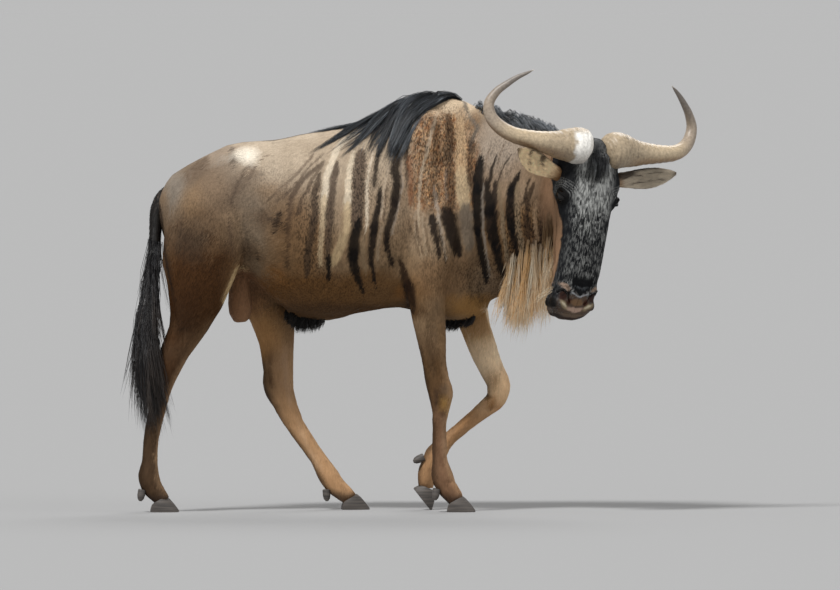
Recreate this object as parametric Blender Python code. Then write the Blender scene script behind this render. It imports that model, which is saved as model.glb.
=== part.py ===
"""Life-size still model of a blue wildebeest bull, walking, with its head turned to its right side.

Frame: +X towards the animal's front, +Y towards its left, +Z up, in metres. The floor is z = 0.
Flesh is lofted through rings whose sizes are listed as stations, fused, smoothed and parted by thin cuts.
"""

import math
import random

import bmesh
import bpy
import numpy as np
from mathutils import Matrix, Vector
from mathutils.bvhtree import BVHTree

# ---------------------------------------------------------------- driving sizes
GAP = 0.0003  # clearance between neighbouring nodes
LEAST_LEFT = 0.3  # share of its volume that a piece keeps at least through any one cut
FRAME_SHIFT = Vector((-0.010, 0.1215, 0.0))  # puts the origin under the middle of the model's box
FLESH_VOXEL = 0.0055
FLESH_TRIANGLES = 3350
HEAD_DETAIL = 0.07  # how strongly the head is spared when the mesh is thinned

# The head's own frame: F runs from the poll to the nose, L to its left, U out of the forehead.
POLL = Vector((0.590, -0.300, 1.163))
HEAD_TURN = math.radians(62)  # from straight ahead towards the animal's right
HEAD_DROP = math.radians(93)  # face line below the horizontal, so the chin is tucked in
HEAD_TILT = math.radians(6)  # sideways lean of the head

EYE_RADIUS = 0.0205
EYE_AT = (0.162, 0.0905, -0.030)  # F, L, U of the left eye's centre
EYE_LOOKS = (0.06, 0.93, 0.36)

EAR_ROOT = (0.098, 0.086, -0.066)  # F, L, U on the left side
EAR_TIP = {"left": (0.050, 0.276, 0.030), "right": (0.031, 0.304, 0.033)}
EAR_WALL = 0.006

CLAW_HALF_WIDTH = 0.0145
CLEFT = 0.004  # between the two claws of a foot
CLAW_HEEL = 0.080  # from the toe back to where the two claws are nearest
TOE_IN = 0.007  # how far a claw's tip bends towards its neighbour

HIDE = (0.30, 0.24, 0.19, 1)
BLACK_HAIR = (0.02, 0.02, 0.022, 1)
HORN = (0.42, 0.36, 0.28, 1)
HOOF = (0.25, 0.25, 0.24, 1)
EYE = (0.02, 0.012, 0.008, 1)

# ---------------------------------------------------------------- stations
# Trunk: x, height of the widest level, top, bottom, half width, squareness, taper (wider above if positive)
TRUNK = [
    (-0.806, 0.960, 1.010, 0.900, 0.040, 2.0, 0.00),
    (-0.785, 0.955, 1.060, 0.840, 0.085, 2.0, 0.00),
    (-0.740, 0.955, 1.096, 0.800, 0.130, 2.1, -0.05),
    (-0.670, 0.965, 1.136, 0.780, 0.165, 2.2, -0.08),
    (-0.590, 0.975, 1.174, 0.770, 0.186, 2.2, -0.10),
    (-0.520, 0.965, 1.187, 0.742, 0.194, 2.2, -0.12),
    (-0.440, 0.930, 1.190, 0.668, 0.204, 2.2, -0.14),
    (-0.340, 0.905, 1.212, 0.618, 0.224, 2.2, -0.16),
    (-0.240, 0.905, 1.226, 0.619, 0.232, 2.2, -0.20),
    (-0.140, 0.910, 1.250, 0.636, 0.226, 2.2, -0.26),
    (-0.050, 0.920, 1.294, 0.648, 0.208, 2.2, -0.34),
    (0.030, 0.925, 1.322, 0.632, 0.190, 2.1, -0.42),
    (0.100, 0.930, 1.318, 0.604, 0.174, 2.1, -0.42),
    (0.170, 0.940, 1.300, 0.612, 0.158, 2.1, -0.38),
    (0.230, 0.955, 1.270, 0.670, 0.120, 2.0, -0.30),
    (0.270, 0.965, 1.200, 0.760, 0.060, 2.0, -0.20),
]
# Neck: x, y, height of the widest level, top, bottom, half width, squareness, taper
NECK = [
    (0.080, 0.000, 0.950, 1.300, 0.680, 0.130, 2.0, -0.35),
    (0.180, -0.004, 0.960, 1.296, 0.655, 0.142, 2.1, -0.34),
    (0.260, -0.020, 0.970, 1.272, 0.676, 0.132, 2.1, -0.30),
    (0.340, -0.052, 0.985, 1.250, 0.716, 0.121, 2.1, -0.26),
    (0.410, -0.092, 1.000, 1.228, 0.772, 0.112, 2.1, -0.20),
    (0.470, -0.134, 1.020, 1.206, 0.838, 0.104, 2.1, -0.14),
    (0.520, -0.172, 1.040, 1.184, 0.902, 0.094, 2.0, -0.08),
    (0.550, -0.198, 1.060, 1.150, 0.960, 0.070, 2.0, 0.00),
]
# Head, in its own frame: f, level of the widest line u, top, bottom, half width, squareness, taper
SKULL = [
    (-0.032, -0.085, -0.055, -0.120, 0.040, 2.0, 0.00),
    (-0.020, -0.080, -0.020, -0.165, 0.076, 2.1, 0.00),
    (0.005, -0.072, 0.006, -0.188, 0.095, 2.3, 0.02),
    (0.050, -0.068, 0.016, -0.192, 0.102, 2.5, 0.04),
    (0.100, -0.062, 0.018, -0.190, 0.103, 2.6, 0.08),
    (0.150, -0.058, 0.019, -0.185, 0.098, 2.7, 0.12),
    (0.200, -0.055, 0.019, -0.170, 0.089, 2.8, 0.16),
    (0.250, -0.052, 0.019, -0.155, 0.0820, 2.8, 0.18),
    (0.320, -0.050, 0.016, -0.136, 0.0765, 2.8, 0.18),
    (0.390, -0.050, 0.010, -0.122, 0.0735, 2.7, 0.18),
    (0.440, -0.052, 0.002, -0.114, 0.0720, 2.6, 0.14),
    (0.490, -0.058, -0.012, -0.108, 0.0725, 2.5, 0.08),
    (0.526, -0.066, -0.034, -0.104, 0.0660, 2.4, 0.02),
    (0.546, -0.074, -0.054, -0.096, 0.0480, 2.2, 0.00),
    (0.555, -0.080, -0.068, -0.091, 0.0250, 2.0, 0.00),
]
JAW = [
    (0.020, -0.150, -0.110, -0.195, 0.055, 2.0, 0.00),
    (0.090, -0.155, -0.100, -0.212, 0.068, 2.2, 0.00),
    (0.150, -0.150, -0.090, -0.205, 0.064, 2.2, 0.00),
    (0.230, -0.128, -0.080, -0.178, 0.053, 2.2, 0.00),
    (0.330, -0.112, -0.070, -0.150, 0.046, 2.2, 0.00),
    (0.430, -0.108, -0.070, -0.136, 0.044, 2.2, 0.00),
    (0.500, -0.110, -0.085, -0.136, 0.047, 2.3, 0.00),
    (0.532, -0.112, -0.098, -0.131, 0.039, 2.2, 0.00),
    (0.546, -0.114, -0.106, -0.123, 0.018, 2.0, 0.00),
]
# Horn of the left side, in the head's frame: f, l, u, radius
HORN_LINE = [
    (0.004, 0.026, 0.000, 0.028),
    (0.002, 0.038, -0.002, 0.048),
    (0.000, 0.064, -0.006, 0.0595),
    (0.000, 0.098, -0.010, 0.0550),
    (0.002, 0.135, -0.012, 0.0460),
    (0.000, 0.170, -0.012, 0.0385),
    (-0.002, 0.210, -0.012, 0.0330),
    (-0.006, 0.250, -0.014, 0.0290),
    (-0.012, 0.290, -0.020, 0.0262),
    (-0.030, 0.332, -0.036, 0.0246),
    (-0.062, 0.362, -0.054, 0.0232),
    (-0.100, 0.370, -0.062, 0.0218),
    (-0.140, 0.352, -0.058, 0.0190),
    (-0.172, 0.322, -0.045, 0.0155),
    (-0.198, 0.292, -0.032, 0.0115),
    (-0.214, 0.268, -0.020, 0.0075),
    (-0.226, 0.250, -0.013, 0.0020),
]

HORN_REACH = {"left": 0.985, "right": 1.02}  # the two horns differ a little in spread

# Limbs: x, y, z, half width across, reach in front, reach behind
FORE_RIGHT = [
    (0.062, -0.130, 1.000, 0.040, 0.080, 0.090),
    (0.062, -0.148, 0.920, 0.050, 0.098, 0.104),
    (0.052, -0.150, 0.820, 0.056, 0.088, 0.088),
    (0.046, -0.145, 0.720, 0.056, 0.066, 0.070),
    (0.050, -0.138, 0.643, 0.051, 0.0585, 0.0600),
    (0.063, -0.130, 0.544, 0.042, 0.0490, 0.0480),
    (0.070, -0.124, 0.474, 0.0345, 0.0395, 0.0390),
    (0.0786, -0.120, 0.419, 0.034, 0.0410, 0.0385),
    (0.0890, -0.117, 0.3776, 0.0365, 0.0430, 0.0400),
    (0.0905, -0.115, 0.3488, 0.032, 0.0350, 0.0340),
    (0.0883, -0.113, 0.2976, 0.0205, 0.0235, 0.0240),
    (0.0883, -0.111, 0.2112, 0.0195, 0.0230, 0.0240),
    (0.0888, -0.110, 0.1632, 0.0215, 0.0250, 0.0270),
    (0.0980, -0.109, 0.1110, 0.0300, 0.0350, 0.0390),
    (0.1120, -0.109, 0.0790, 0.0290, 0.0320, 0.0350),
    (0.1290, -0.109, 0.0540, 0.0275, 0.0300, 0.0300),
    (0.1430, -0.109, 0.0350, 0.0255, 0.0270, 0.0260),
]
FORE_LEFT = [
    (0.110, 0.130, 1.000, 0.040, 0.080, 0.090),
    (0.125, 0.148, 0.920, 0.050, 0.098, 0.100),
    (0.148, 0.150, 0.800, 0.055, 0.086, 0.082),
    (0.172, 0.142, 0.680, 0.053, 0.068, 0.063),
    (0.202, 0.133, 0.582, 0.046, 0.0530, 0.0500),
    (0.230, 0.125, 0.506, 0.040, 0.0460, 0.0450),
    (0.256, 0.118, 0.446, 0.035, 0.0400, 0.0400),
    (0.274, 0.114, 0.398, 0.0365, 0.0420, 0.0360),
    (0.266, 0.111, 0.358, 0.0350, 0.0370, 0.0310),
    (0.236, 0.108, 0.328, 0.0290, 0.0300, 0.0280),
    (0.192, 0.104, 0.291, 0.0210, 0.0250, 0.0250),
    (0.140, 0.100, 0.246, 0.0200, 0.0235, 0.0250),
    (0.102, 0.097, 0.211, 0.0215, 0.0250, 0.0280),
    (0.078, 0.096, 0.178, 0.0300, 0.0330, 0.0380),
    (0.057, 0.095, 0.145, 0.0285, 0.0310, 0.0320),
    (0.045, 0.094, 0.114, 0.0270, 0.0290, 0.0300),
    (0.043, 0.094, 0.068, 0.0250, 0.0250, 0.0250),
]
HIND_RIGHT = [
    (-0.610, -0.085, 1.080, 0.060, 0.100, 0.110),
    (-0.625, -0.112, 1.000, 0.082, 0.135, 0.140),
    (-0.655, -0.125, 0.890, 0.086, 0.140, 0.134),
    (-0.679, -0.130, 0.784, 0.080, 0.124, 0.116),
    (-0.695, -0.130, 0.682, 0.068, 0.097, 0.090),
    (-0.713, -0.127, 0.614, 0.056, 0.075, 0.068),
    (-0.733, -0.124, 0.566, 0.0470, 0.0610, 0.0540),
    (-0.760, -0.120, 0.505, 0.0400, 0.0460, 0.0500),
    (-0.782, -0.118, 0.452, 0.0385, 0.0400, 0.0440),
    (-0.797, -0.117, 0.405, 0.0335, 0.0340, 0.0350),
    (-0.8144, -0.116, 0.323, 0.0240, 0.0265, 0.0290),
    (-0.8285, -0.115, 0.262, 0.0225, 0.0255, 0.0280),
    (-0.8380, -0.114, 0.160, 0.0230, 0.0265, 0.0285),
    (-0.8400, -0.114, 0.107, 0.0310, 0.0340, 0.0370),
    (-0.8290, -0.114, 0.077, 0.0295, 0.0320, 0.0350),
    (-0.8090, -0.114, 0.052, 0.0275, 0.0290, 0.0290),
    (-0.7950, -0.114, 0.033, 0.0255, 0.0260, 0.0260),
]
HIND_LEFT = [
    (-0.600, 0.085, 1.080, 0.060, 0.100, 0.110),
    (-0.580, 0.112, 1.000, 0.082, 0.135, 0.145),
    (-0.548, 0.125, 0.890, 0.086, 0.140, 0.140),
    (-0.502, 0.130, 0.780, 0.078, 0.122, 0.122),
    (-0.468, 0.130, 0.690, 0.067, 0.094, 0.100),
    (-0.449, 0.128, 0.624, 0.057, 0.077, 0.080),
    (-0.434, 0.124, 0.528, 0.0460, 0.0560, 0.0600),
    (-0.431, 0.120, 0.445, 0.0400, 0.0490, 0.0500),
    (-0.430, 0.118, 0.395, 0.0395, 0.0500, 0.0500),
    (-0.4144, 0.117, 0.352, 0.0350, 0.0410, 0.0420),
    (-0.376, 0.117, 0.2726, 0.0255, 0.0310, 0.0320),
    (-0.3376, 0.117, 0.2144, 0.0230, 0.0275, 0.0285),
    (-0.300, 0.118, 0.1600, 0.0235, 0.0275, 0.0290),
    (-0.266, 0.119, 0.1050, 0.0310, 0.0330, 0.0360),
    (-0.245, 0.119, 0.0760, 0.0295, 0.0310, 0.0340),
    (-0.216, 0.120, 0.0500, 0.0275, 0.0280, 0.0290),
    (-0.197, 0.120, 0.0320, 0.0255, 0.0260, 0.0260),
]
LIMBS = {
    "foreleg_right": FORE_RIGHT,
    "foreleg_left": FORE_LEFT,
    "hindleg_right": HIND_RIGHT,
    "hindleg_left": HIND_LEFT,
}
# Where each foot's toes point and how far the toe is tipped down, in degrees; the flexed foot stands on its tip
FEET = {
    "foreleg_right": (0.200, -0.109, -4, 0),
    "foreleg_left": (0.058, 0.094, 3, 52),
    "hindleg_right": (-0.747, -0.114, -5, 0),
    "hindleg_left": (-0.139, 0.120, 5, 0),
}
FOOT_SPREAD = 4  # degrees that each claw points away from its neighbour

# Thin cuts that part the flesh: point, direction across the cut, radius
CUTS = [
    ((0.180, 0.000, 0.960), (0.96, -0.10, 0.26), 0.480),  # neck from torso
    ((0.060, -0.130, 0.652), (0.02, -0.34, -0.94), 0.116),  # right foreleg from torso
    ((0.178, 0.136, 0.646), (0.22, 0.34, -0.91), 0.112),  # left foreleg
    ((-0.680, -0.130, 0.762), (0.02, -0.26, -0.96), 0.170),  # right hindleg
    ((-0.468, 0.135, 0.640), (0.00, 0.25, -0.97), 0.125),  # left hindleg
    ((0.0890, -0.116, 0.374), (0.05, 0.0, -1.0), 0.070),  # right knee
    ((0.2720, 0.112, 0.384), (-0.25, 0.0, -0.97), 0.080),  # left knee
    ((-0.779, -0.118, 0.458), (-0.40, 0.0, -0.92), 0.080),  # right hock
    ((-0.428, 0.118, 0.400), (0.25, 0.0, -0.97), 0.085),  # left hock
]
HEAD_CUT = ((0.050, 0.0, -0.196), (-0.10, 0.0, 1.0), 0.330)  # in the head's frame: point, direction, radius

# Tail: x, y, z, half width fore and aft, half thickness sideways
TAIL_DOCK = [
    (-0.760, 0.000, 1.016, 0.034, 0.034),
    (-0.792, -0.004, 1.000, 0.029, 0.029),
    (-0.814, -0.012, 0.966, 0.0225, 0.0225),
    (-0.822, -0.030, 0.900, 0.0180, 0.0180),
    (-0.826, -0.056, 0.820, 0.0165, 0.0165),
    (-0.838, -0.090, 0.730, 0.0160, 0.0160),
    (-0.850, -0.130, 0.640, 0.0230, 0.0190),
    (-0.852, -0.160, 0.560, 0.0300, 0.0190),
    (-0.850, -0.172, 0.490, 0.0260, 0.0150),
    (-0.848, -0.178, 0.440, 0.0080, 0.0060),
]
SCROTUM = [
    (-0.556, 0.0, 0.800, 0.030, 0.034),
    (-0.556, 0.0, 0.742, 0.034, 0.040),
    (-0.554, 0.0, 0.700, 0.038, 0.044),
    (-0.552, 0.0, 0.655, 0.042, 0.045),
    (-0.551, 0.0, 0.620, 0.036, 0.038),
    (-0.551, 0.0, 0.600, 0.020, 0.022),
]

# Rounded muscle and bone forms on the body: centre, radii, turn about Y in degrees; mirrored ones have y > 0
BODY_FORMS = [
    ((-0.670, 0.070, 1.020), (0.110, 0.070, 0.080), -28, True),  # rump muscle
    ((-0.560, 0.085, 1.100), (0.070, 0.060, 0.050), -10, True),  # point of the hip
    ((0.030, 0.060, 1.120), (0.130, 0.075, 0.170), 14, True),  # blade of the shoulder
    ((0.130, 0.095, 0.850), (0.100, 0.075, 0.120), 0, True),  # point of the shoulder
    ((0.010, 0.110, 0.900), (0.150, 0.090, 0.140), 0, True),  # upper arm muscle
    ((0.130, 0.000, 0.660), (0.120, 0.080, 0.058), 0, False),  # brisket
    ((-0.300, 0.000, 0.632), (0.110, 0.030, 0.026), 0, False),  # sheath fold of the belly
]


# Rows of locks. Each runs from start to end along x (along the dock for the tail, down the face for the forelock)
# at a distance aside from the crest; lift is the height over the skin, hug how far the tips settle on it.
SEED = 11
LOCK_SPANS = 4
ROOT_SINK = 0.014
LOCK_ROOM = 0.022  # how far the middle of a lock keeps from a neighbouring node
BACK_MANE = [
    {"start": -0.250, "end": 0.005, "count": 6, "aside": -0.075, "length": 0.205, "short": 0.45, "wide": 0.021,
     "thick": 0.0080, "heading": (-0.7, -0.5, -0.1), "lie": (-0.55, -0.30, -0.85), "lift": 0.012, "hug": 0.8, "tilt": 22},
    {"start": -0.255, "end": 0.050, "count": 7, "aside": -0.042, "length": 0.240, "short": 0.45, "wide": 0.022,
     "thick": 0.0080, "heading": (-0.8, -0.3, 0.1), "lie": (-0.70, -0.45, -0.60), "lift": 0.020, "hug": 0.7, "tilt": 22},
    {"start": -0.245, "end": 0.165, "count": 8, "aside": -0.006, "length": 0.215, "short": 0.50, "wide": 0.022,
     "thick": 0.0080, "heading": (-0.9, -0.1, 0.2), "lie": (-0.95, -0.20, -0.20), "lift": 0.023, "hug": 0.7, "tilt": 14},
    {"start": -0.240, "end": 0.150, "count": 6, "aside": 0.040, "length": 0.190, "short": 0.45, "wide": 0.022,
     "thick": 0.0080, "heading": (-0.7, 0.5, 0.1), "lie": (-0.65, 0.45, -0.60), "lift": 0.014, "hug": 0.7, "tilt": -22},
]
NECK_MANE = [
    {"start": 0.210, "end": 0.450, "count": 5, "aside": 0.055, "length": 0.190, "short": 0.7, "wide": 0.023,
     "thick": 0.0080, "heading": (0.1, 0.8, 0.0), "lie": (0.1, 0.35, -0.90), "lift": 0.012, "hug": 0.8, "tilt": 18},
    {"start": 0.205, "end": 0.455, "count": 6, "aside": 0.016, "length": 0.180, "short": 0.7, "wide": 0.023,
     "thick": 0.0080, "heading": (0.0, 0.6, 0.5), "lie": (0.1, 0.75, -0.60), "lift": 0.024, "hug": 0.6, "tilt": 18},
    {"start": 0.215, "end": 0.445, "count": 5, "aside": -0.020, "length": 0.110, "short": 0.7, "wide": 0.021,
     "thick": 0.0080, "heading": (0.3, -0.5, 0.6), "lie": (0.5, -0.55, -0.50), "lift": 0.020, "hug": 0.7, "tilt": -18},
]
BEARD = [
    {"start": 0.258, "end": 0.420, "count": 5, "aside": -0.048, "length": 0.165, "short": 0.6, "wide": 0.021,
     "thick": 0.0070, "heading": (0.45, -0.3, -0.9), "lie": (-0.15, 0.1, -1.0), "lift": 0.006, "bend": 1.2,
     "sway": 0.10, "sheet": True, "tilt": 24},
    {"start": 0.240, "end": 0.432, "count": 7, "aside": -0.010, "length": 0.205, "short": 0.6, "wide": 0.021,
     "thick": 0.0070, "heading": (0.40, -0.1, -0.9), "lie": (-0.12, 0.0, -1.0), "lift": 0.006, "bend": 1.2,
     "sway": 0.10, "sheet": True, "tilt": 24},
    {"start": 0.255, "end": 0.425, "count": 5, "aside": 0.032, "length": 0.185, "short": 0.6, "wide": 0.021,
     "thick": 0.0070, "heading": (0.45, 0.2, -0.9), "lie": (-0.10, -0.05, -1.0), "lift": 0.006, "bend": 1.2,
     "sway": 0.10, "sheet": True, "tilt": 24},
]
SHEATH_TUFT = [
    {"start": -0.365, "end": -0.315, "count": 3, "aside": 0.0, "length": 0.050, "short": 0.8, "wide": 0.011,
     "thick": 0.0060, "heading": (-0.2, 0.0, -0.9), "lie": (-0.3, 0.0, -0.9), "lift": 0.004},
]
FORELOCK = [
    {"start": 0.002, "end": 0.060, "count": 3, "aside": -0.012, "length": 0.100, "short": 0.8, "wide": 0.012,
     "thick": 0.0060, "heading": (0.2, -0.6, -0.2), "lie": (-0.10, -0.05, -1.0), "lift": 0.008, "hug": 0.8},
    {"start": 0.006, "end": 0.045, "count": 2, "aside": 0.014, "length": 0.090, "short": 0.8, "wide": 0.012,
     "thick": 0.0060, "heading": (0.4, -0.6, -0.2), "lie": (-0.08, 0.0, -1.0), "lift": 0.010, "hug": 0.8},
]
# On the tail a row is a tier round the dock: start and end are turns in half circles, aside the place down the dock
TASSEL_TIERS = [
    {"start": 0.0, "end": 2.0, "count": 5, "aside": 0.76, "length": 0.320, "short": 0.9, "wide": 0.026, "thick": 0.0080,
     "heading": (-0.02, -0.16, -1.0), "lie": (0.10, -0.02, -1.0), "lift": 0.002, "sway": 0.10, "tilt": 20,
     "root": 0.25},
    {"start": 0.2, "end": 2.2, "count": 4, "aside": 0.60, "length": 0.330, "short": 0.9, "wide": 0.026, "thick": 0.0080,
     "heading": (-0.08, -0.26, -1.0), "lie": (0.02, -0.08, -1.0), "lift": 0.003, "sway": 0.10, "tilt": 20,
     "root": 0.25},
    {"start": 0.1, "end": 2.1, "count": 3, "aside": 0.46, "length": 0.260, "short": 0.9, "wide": 0.020, "thick": 0.0080,
     "heading": (-0.10, -0.38, -1.0), "lie": (-0.04, -0.30, -1.0), "lift": 0.002, "sway": 0.05, "tilt": 20,
     "root": 0.25},
]


def clear_scene():
    for item in list(bpy.data.objects):
        bpy.data.objects.remove(item, do_unlink=True)


def material(name, colour, roughness, metallic=0.0):
    made = bpy.data.materials.new(name)
    made.use_nodes = True
    shader = made.node_tree.nodes["Principled BSDF"]
    shader.inputs["Base Color"].default_value = colour
    shader.inputs["Roughness"].default_value = roughness
    shader.inputs["Metallic"].default_value = metallic
    made.diffuse_color = colour
    return made


def refine(rows, steps, place):
    """Rows on a smooth curve through the stations; the first `place` columns say how far apart they are."""
    rows = np.array(rows, float)
    spans = np.linalg.norm(np.diff(rows[:, :place], axis=0), axis=1)
    knots = np.concatenate(([0.0], np.cumsum(spans)))
    slopes = np.gradient(rows, knots, axis=0)
    fine = []
    for index, span in enumerate(spans):
        for step in range(steps):
            t = step / steps
            start = (1 + 2 * t) * (1 - t) ** 2 * rows[index] + t * (1 - t) ** 2 * span * slopes[index]
            end = t * t * (3 - 2 * t) * rows[index + 1] - t * t * (1 - t) * span * slopes[index + 1]
            fine.append(start + end)
    fine.append(rows[-1])
    return fine


def ring_edges(ring):
    """The edges of a ring of vertices, each once and in order."""
    return list(dict.fromkeys(edge for vert in ring for edge in vert.link_edges))


def add_ring(bm, sides, centre, across, up, half_width, above, below, power=2.0, taper=0.0):
    """One cross-section: a circle squared off by power, narrowed above (taper < 0) or below (taper > 0)."""
    ring = bmesh.ops.create_circle(bm, cap_ends=False, segments=sides, radius=1.0)["verts"]
    for vert in ring:
        side = math.copysign(abs(vert.co.x) ** (2 / power), vert.co.x)
        rise = math.copysign(abs(vert.co.y) ** (2 / power), vert.co.y)
        pinch = 1 + taper * max(rise, 0.0) if taper < 0 else 1 - taper * max(-rise, 0.0)
        reach = above if rise > 0 else below
        vert.co = centre + across * (side * pinch * half_width) + up * (rise * reach)
    return ring_edges(ring)


def join_rings(bm, rings):
    for first, second in zip(rings, rings[1:]):
        bmesh.ops.bridge_loops(bm, edges=first + second)
    bmesh.ops.edgeloop_fill(bm, edges=rings[0])
    bmesh.ops.edgeloop_fill(bm, edges=rings[-1])


def merge_into(bm, part):
    """Adds the finished closed shape `part` to `bm`, with its faces pointing out."""
    bmesh.ops.recalc_face_normals(part, faces=part.faces)
    mesh = bpy.data.meshes.new("piece")
    part.to_mesh(mesh)
    part.free()
    bm.from_mesh(mesh)
    bpy.data.meshes.remove(mesh)


def make_object(name, bm, look=None):
    """An object of triangles, so that a child and the pocket cut for it are faceted alike."""
    bmesh.ops.triangulate(bm, faces=bm.faces)
    bmesh.ops.recalc_face_normals(bm, faces=bm.faces)
    mesh = bpy.data.meshes.new(name)
    bm.to_mesh(mesh)
    bm.free()
    made = bpy.data.objects.new(name, mesh)
    bpy.context.collection.objects.link(made)
    if look:
        mesh.materials.append(look)
    return made


def apply_modifiers(item):
    graph = bpy.context.evaluated_depsgraph_get()
    mesh = bpy.data.meshes.new_from_object(item.evaluated_get(graph), depsgraph=graph)
    old = item.data
    item.modifiers.clear()
    item.data = mesh
    bpy.data.meshes.remove(old)


def volume(item):
    bm = bmesh.new()
    bm.from_mesh(item.data)
    result = bm.calc_volume()
    bm.free()
    return result


def boolean(item, operation, tool=None, tools=None, whole=True):
    """Joins or cuts with one object or a collection, by the second solver where the first one fails.

    Where both fail, the mesh stays as it was and the answer is False.
    """
    before = item.data.copy()
    sound = False
    least = volume(item) * LEAST_LEFT
    for solver in ("EXACT", "MANIFOLD"):
        step = item.modifiers.new(operation.title(), "BOOLEAN")
        step.operation = operation
        step.solver = solver
        if tools:
            step.operand_type = "COLLECTION"
            step.collection = tools
        else:
            step.object = tool
        apply_modifiers(item)
        sound = weld_and_clean(item, whole) and volume(item) >= least
        if sound:
            break
        item.data = before.copy()
    bpy.data.meshes.remove(before)
    return sound


def discard(item):
    mesh = item.data
    bpy.data.objects.remove(item, do_unlink=True)
    bpy.data.meshes.remove(mesh)


# ---------------------------------------------------------------- frames of the head
def head_axes():
    """Unit vectors F (to the nose), L (to the head's left) and U (out of the forehead)."""
    ahead = Vector((math.cos(HEAD_TURN), -math.sin(HEAD_TURN), 0.0))
    level_nose = ahead * math.cos(HEAD_DROP) - Vector((0, 0, math.sin(HEAD_DROP)))
    brow = ahead * math.sin(HEAD_DROP) + Vector((0, 0, math.cos(HEAD_DROP)))
    left = brow.cross(level_nose)
    nose = level_nose * math.cos(HEAD_TILT) - left * math.sin(HEAD_TILT)
    left = left * math.cos(HEAD_TILT) + level_nose * math.sin(HEAD_TILT)
    return nose.normalized(), left.normalized(), brow.normalized()


NOSE, LEFT, BROW = head_axes()


def on_head(f, l, u):
    return POLL + NOSE * f + LEFT * l + BROW * u


def head_matrix(centre, turn_f=0.0, turn_l=0.0, turn_u=0.0):
    """A frame at a point of the head, with X to the nose, Y to the left and Z out of the forehead."""
    axes = Matrix((NOSE, LEFT, BROW)).transposed().to_4x4()
    spin = Matrix.Rotation(math.radians(turn_u), 4, "Z") @ Matrix.Rotation(math.radians(turn_l), 4, "Y")
    spin = spin @ Matrix.Rotation(math.radians(turn_f), 4, "X")
    return Matrix.Translation(on_head(*centre)) @ axes @ spin


# ---------------------------------------------------------------- lofts of the flesh
def loft_trunk(bm, sides=40):
    part = bmesh.new()
    rings = []
    for x, level, top, bottom, wide, power, taper in refine(TRUNK, 3, 1):
        centre = Vector((x, 0, level))
        rings.append(add_ring(part, sides, centre, Vector((0, 1, 0)), Vector((0, 0, 1)), wide,
                              top - level, level - bottom, power, taper))
    join_rings(part, rings)
    merge_into(bm, part)


def loft_neck(bm, sides=36):
    part = bmesh.new()
    rows = refine(NECK, 3, 2)
    rings = []
    for index, (x, y, level, top, bottom, wide, power, taper) in enumerate(rows):
        before, after = rows[max(index - 1, 0)], rows[min(index + 1, len(rows) - 1)]
        along = Vector((after[0] - before[0], after[1] - before[1], 0)).normalized()
        across = Vector((-along.y, along.x, 0))
        rings.append(add_ring(part, sides, Vector((x, y, level)), across, Vector((0, 0, 1)), wide,
                              top - level, level - bottom, power, taper))
    join_rings(part, rings)
    merge_into(bm, part)


def loft_head(bm, stations, sides=36):
    part = bmesh.new()
    rings = []
    for f, level, top, bottom, wide, power, taper in refine(stations, 3, 1):
        rings.append(add_ring(part, sides, on_head(f, 0, level), LEFT, BROW, wide,
                              top - level, level - bottom, power, taper))
    join_rings(part, rings)
    merge_into(bm, part)


def loft_limb(bm, stations, sides=24, steps=3):
    """A limb hangs in a fore-and-aft plane; each section lies square to its line."""
    part = bmesh.new()
    rows = refine(stations, steps, 3)
    rings = []
    for index, (x, y, z, wide, front, back) in enumerate(rows):
        before, after = rows[max(index - 1, 0)], rows[min(index + 1, len(rows) - 1)]
        down = Vector((after[0] - before[0], 0, after[2] - before[2])).normalized()
        ahead = down.cross(Vector((0, 1, 0)))
        rings.append(add_ring(part, sides, Vector((x, y, z)), Vector((0, 1, 0)), ahead, wide, front, back, 2.15))
    join_rings(part, rings)
    merge_into(bm, part)


def horn_shape(side, sides=10, steps=1):
    """One horn, round in section, from its boss on the poll to its tip."""
    sign = 1 if side == "left" else -1
    bm = bmesh.new()
    rows = refine(HORN_LINE, steps, 3)
    points = [on_head(f, l * sign * HORN_REACH[side], u) for f, l, u, radius in rows]
    rings = []
    up = BROW
    for index, point in enumerate(points):
        along = (points[min(index + 1, len(points) - 1)] - points[max(index - 1, 0)]).normalized()
        across = along.cross(up).normalized()
        up = across.cross(along).normalized()
        radius = rows[index][3]
        rings.append(add_ring(bm, sides, point, across, up, radius, radius, radius))
    join_rings(bm, rings)
    return bm


# Ear sections from root to tip: share of the length, half width, depth of the cup, how far it is open, bow
EAR_SECTIONS = [
    (0.00, 0.022, 0.022, 0.00, 0.000),
    (0.14, 0.023, 0.022, 0.10, 0.003),
    (0.28, 0.027, 0.022, 0.60, 0.006),
    (0.44, 0.033, 0.021, 1.00, 0.008),
    (0.60, 0.0345, 0.018, 1.00, 0.008),
    (0.76, 0.029, 0.013, 1.00, 0.006),
    (0.90, 0.017, 0.007, 1.00, 0.003),
    (1.00, 0.004, 0.002, 1.00, 0.000),
]


def ear_frame(side):
    """Root point, axis, width direction and the direction that the cup faces."""
    sign = 1 if side == "left" else -1
    f, l, u = EAR_ROOT
    root = on_head(f, l * sign, u)
    f, l, u = EAR_TIP[side]
    axis = on_head(f, l * sign, u) - root
    faces = (BROW * 0.80 + NOSE * 0.42 - LEFT * sign * 0.45).normalized()
    faces = (faces - axis * faces.dot(axis) / axis.length_squared).normalized()
    wide = faces.cross(axis.normalized())
    return root, axis, wide * math.copysign(1.0, wide.dot(NOSE)), faces


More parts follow.
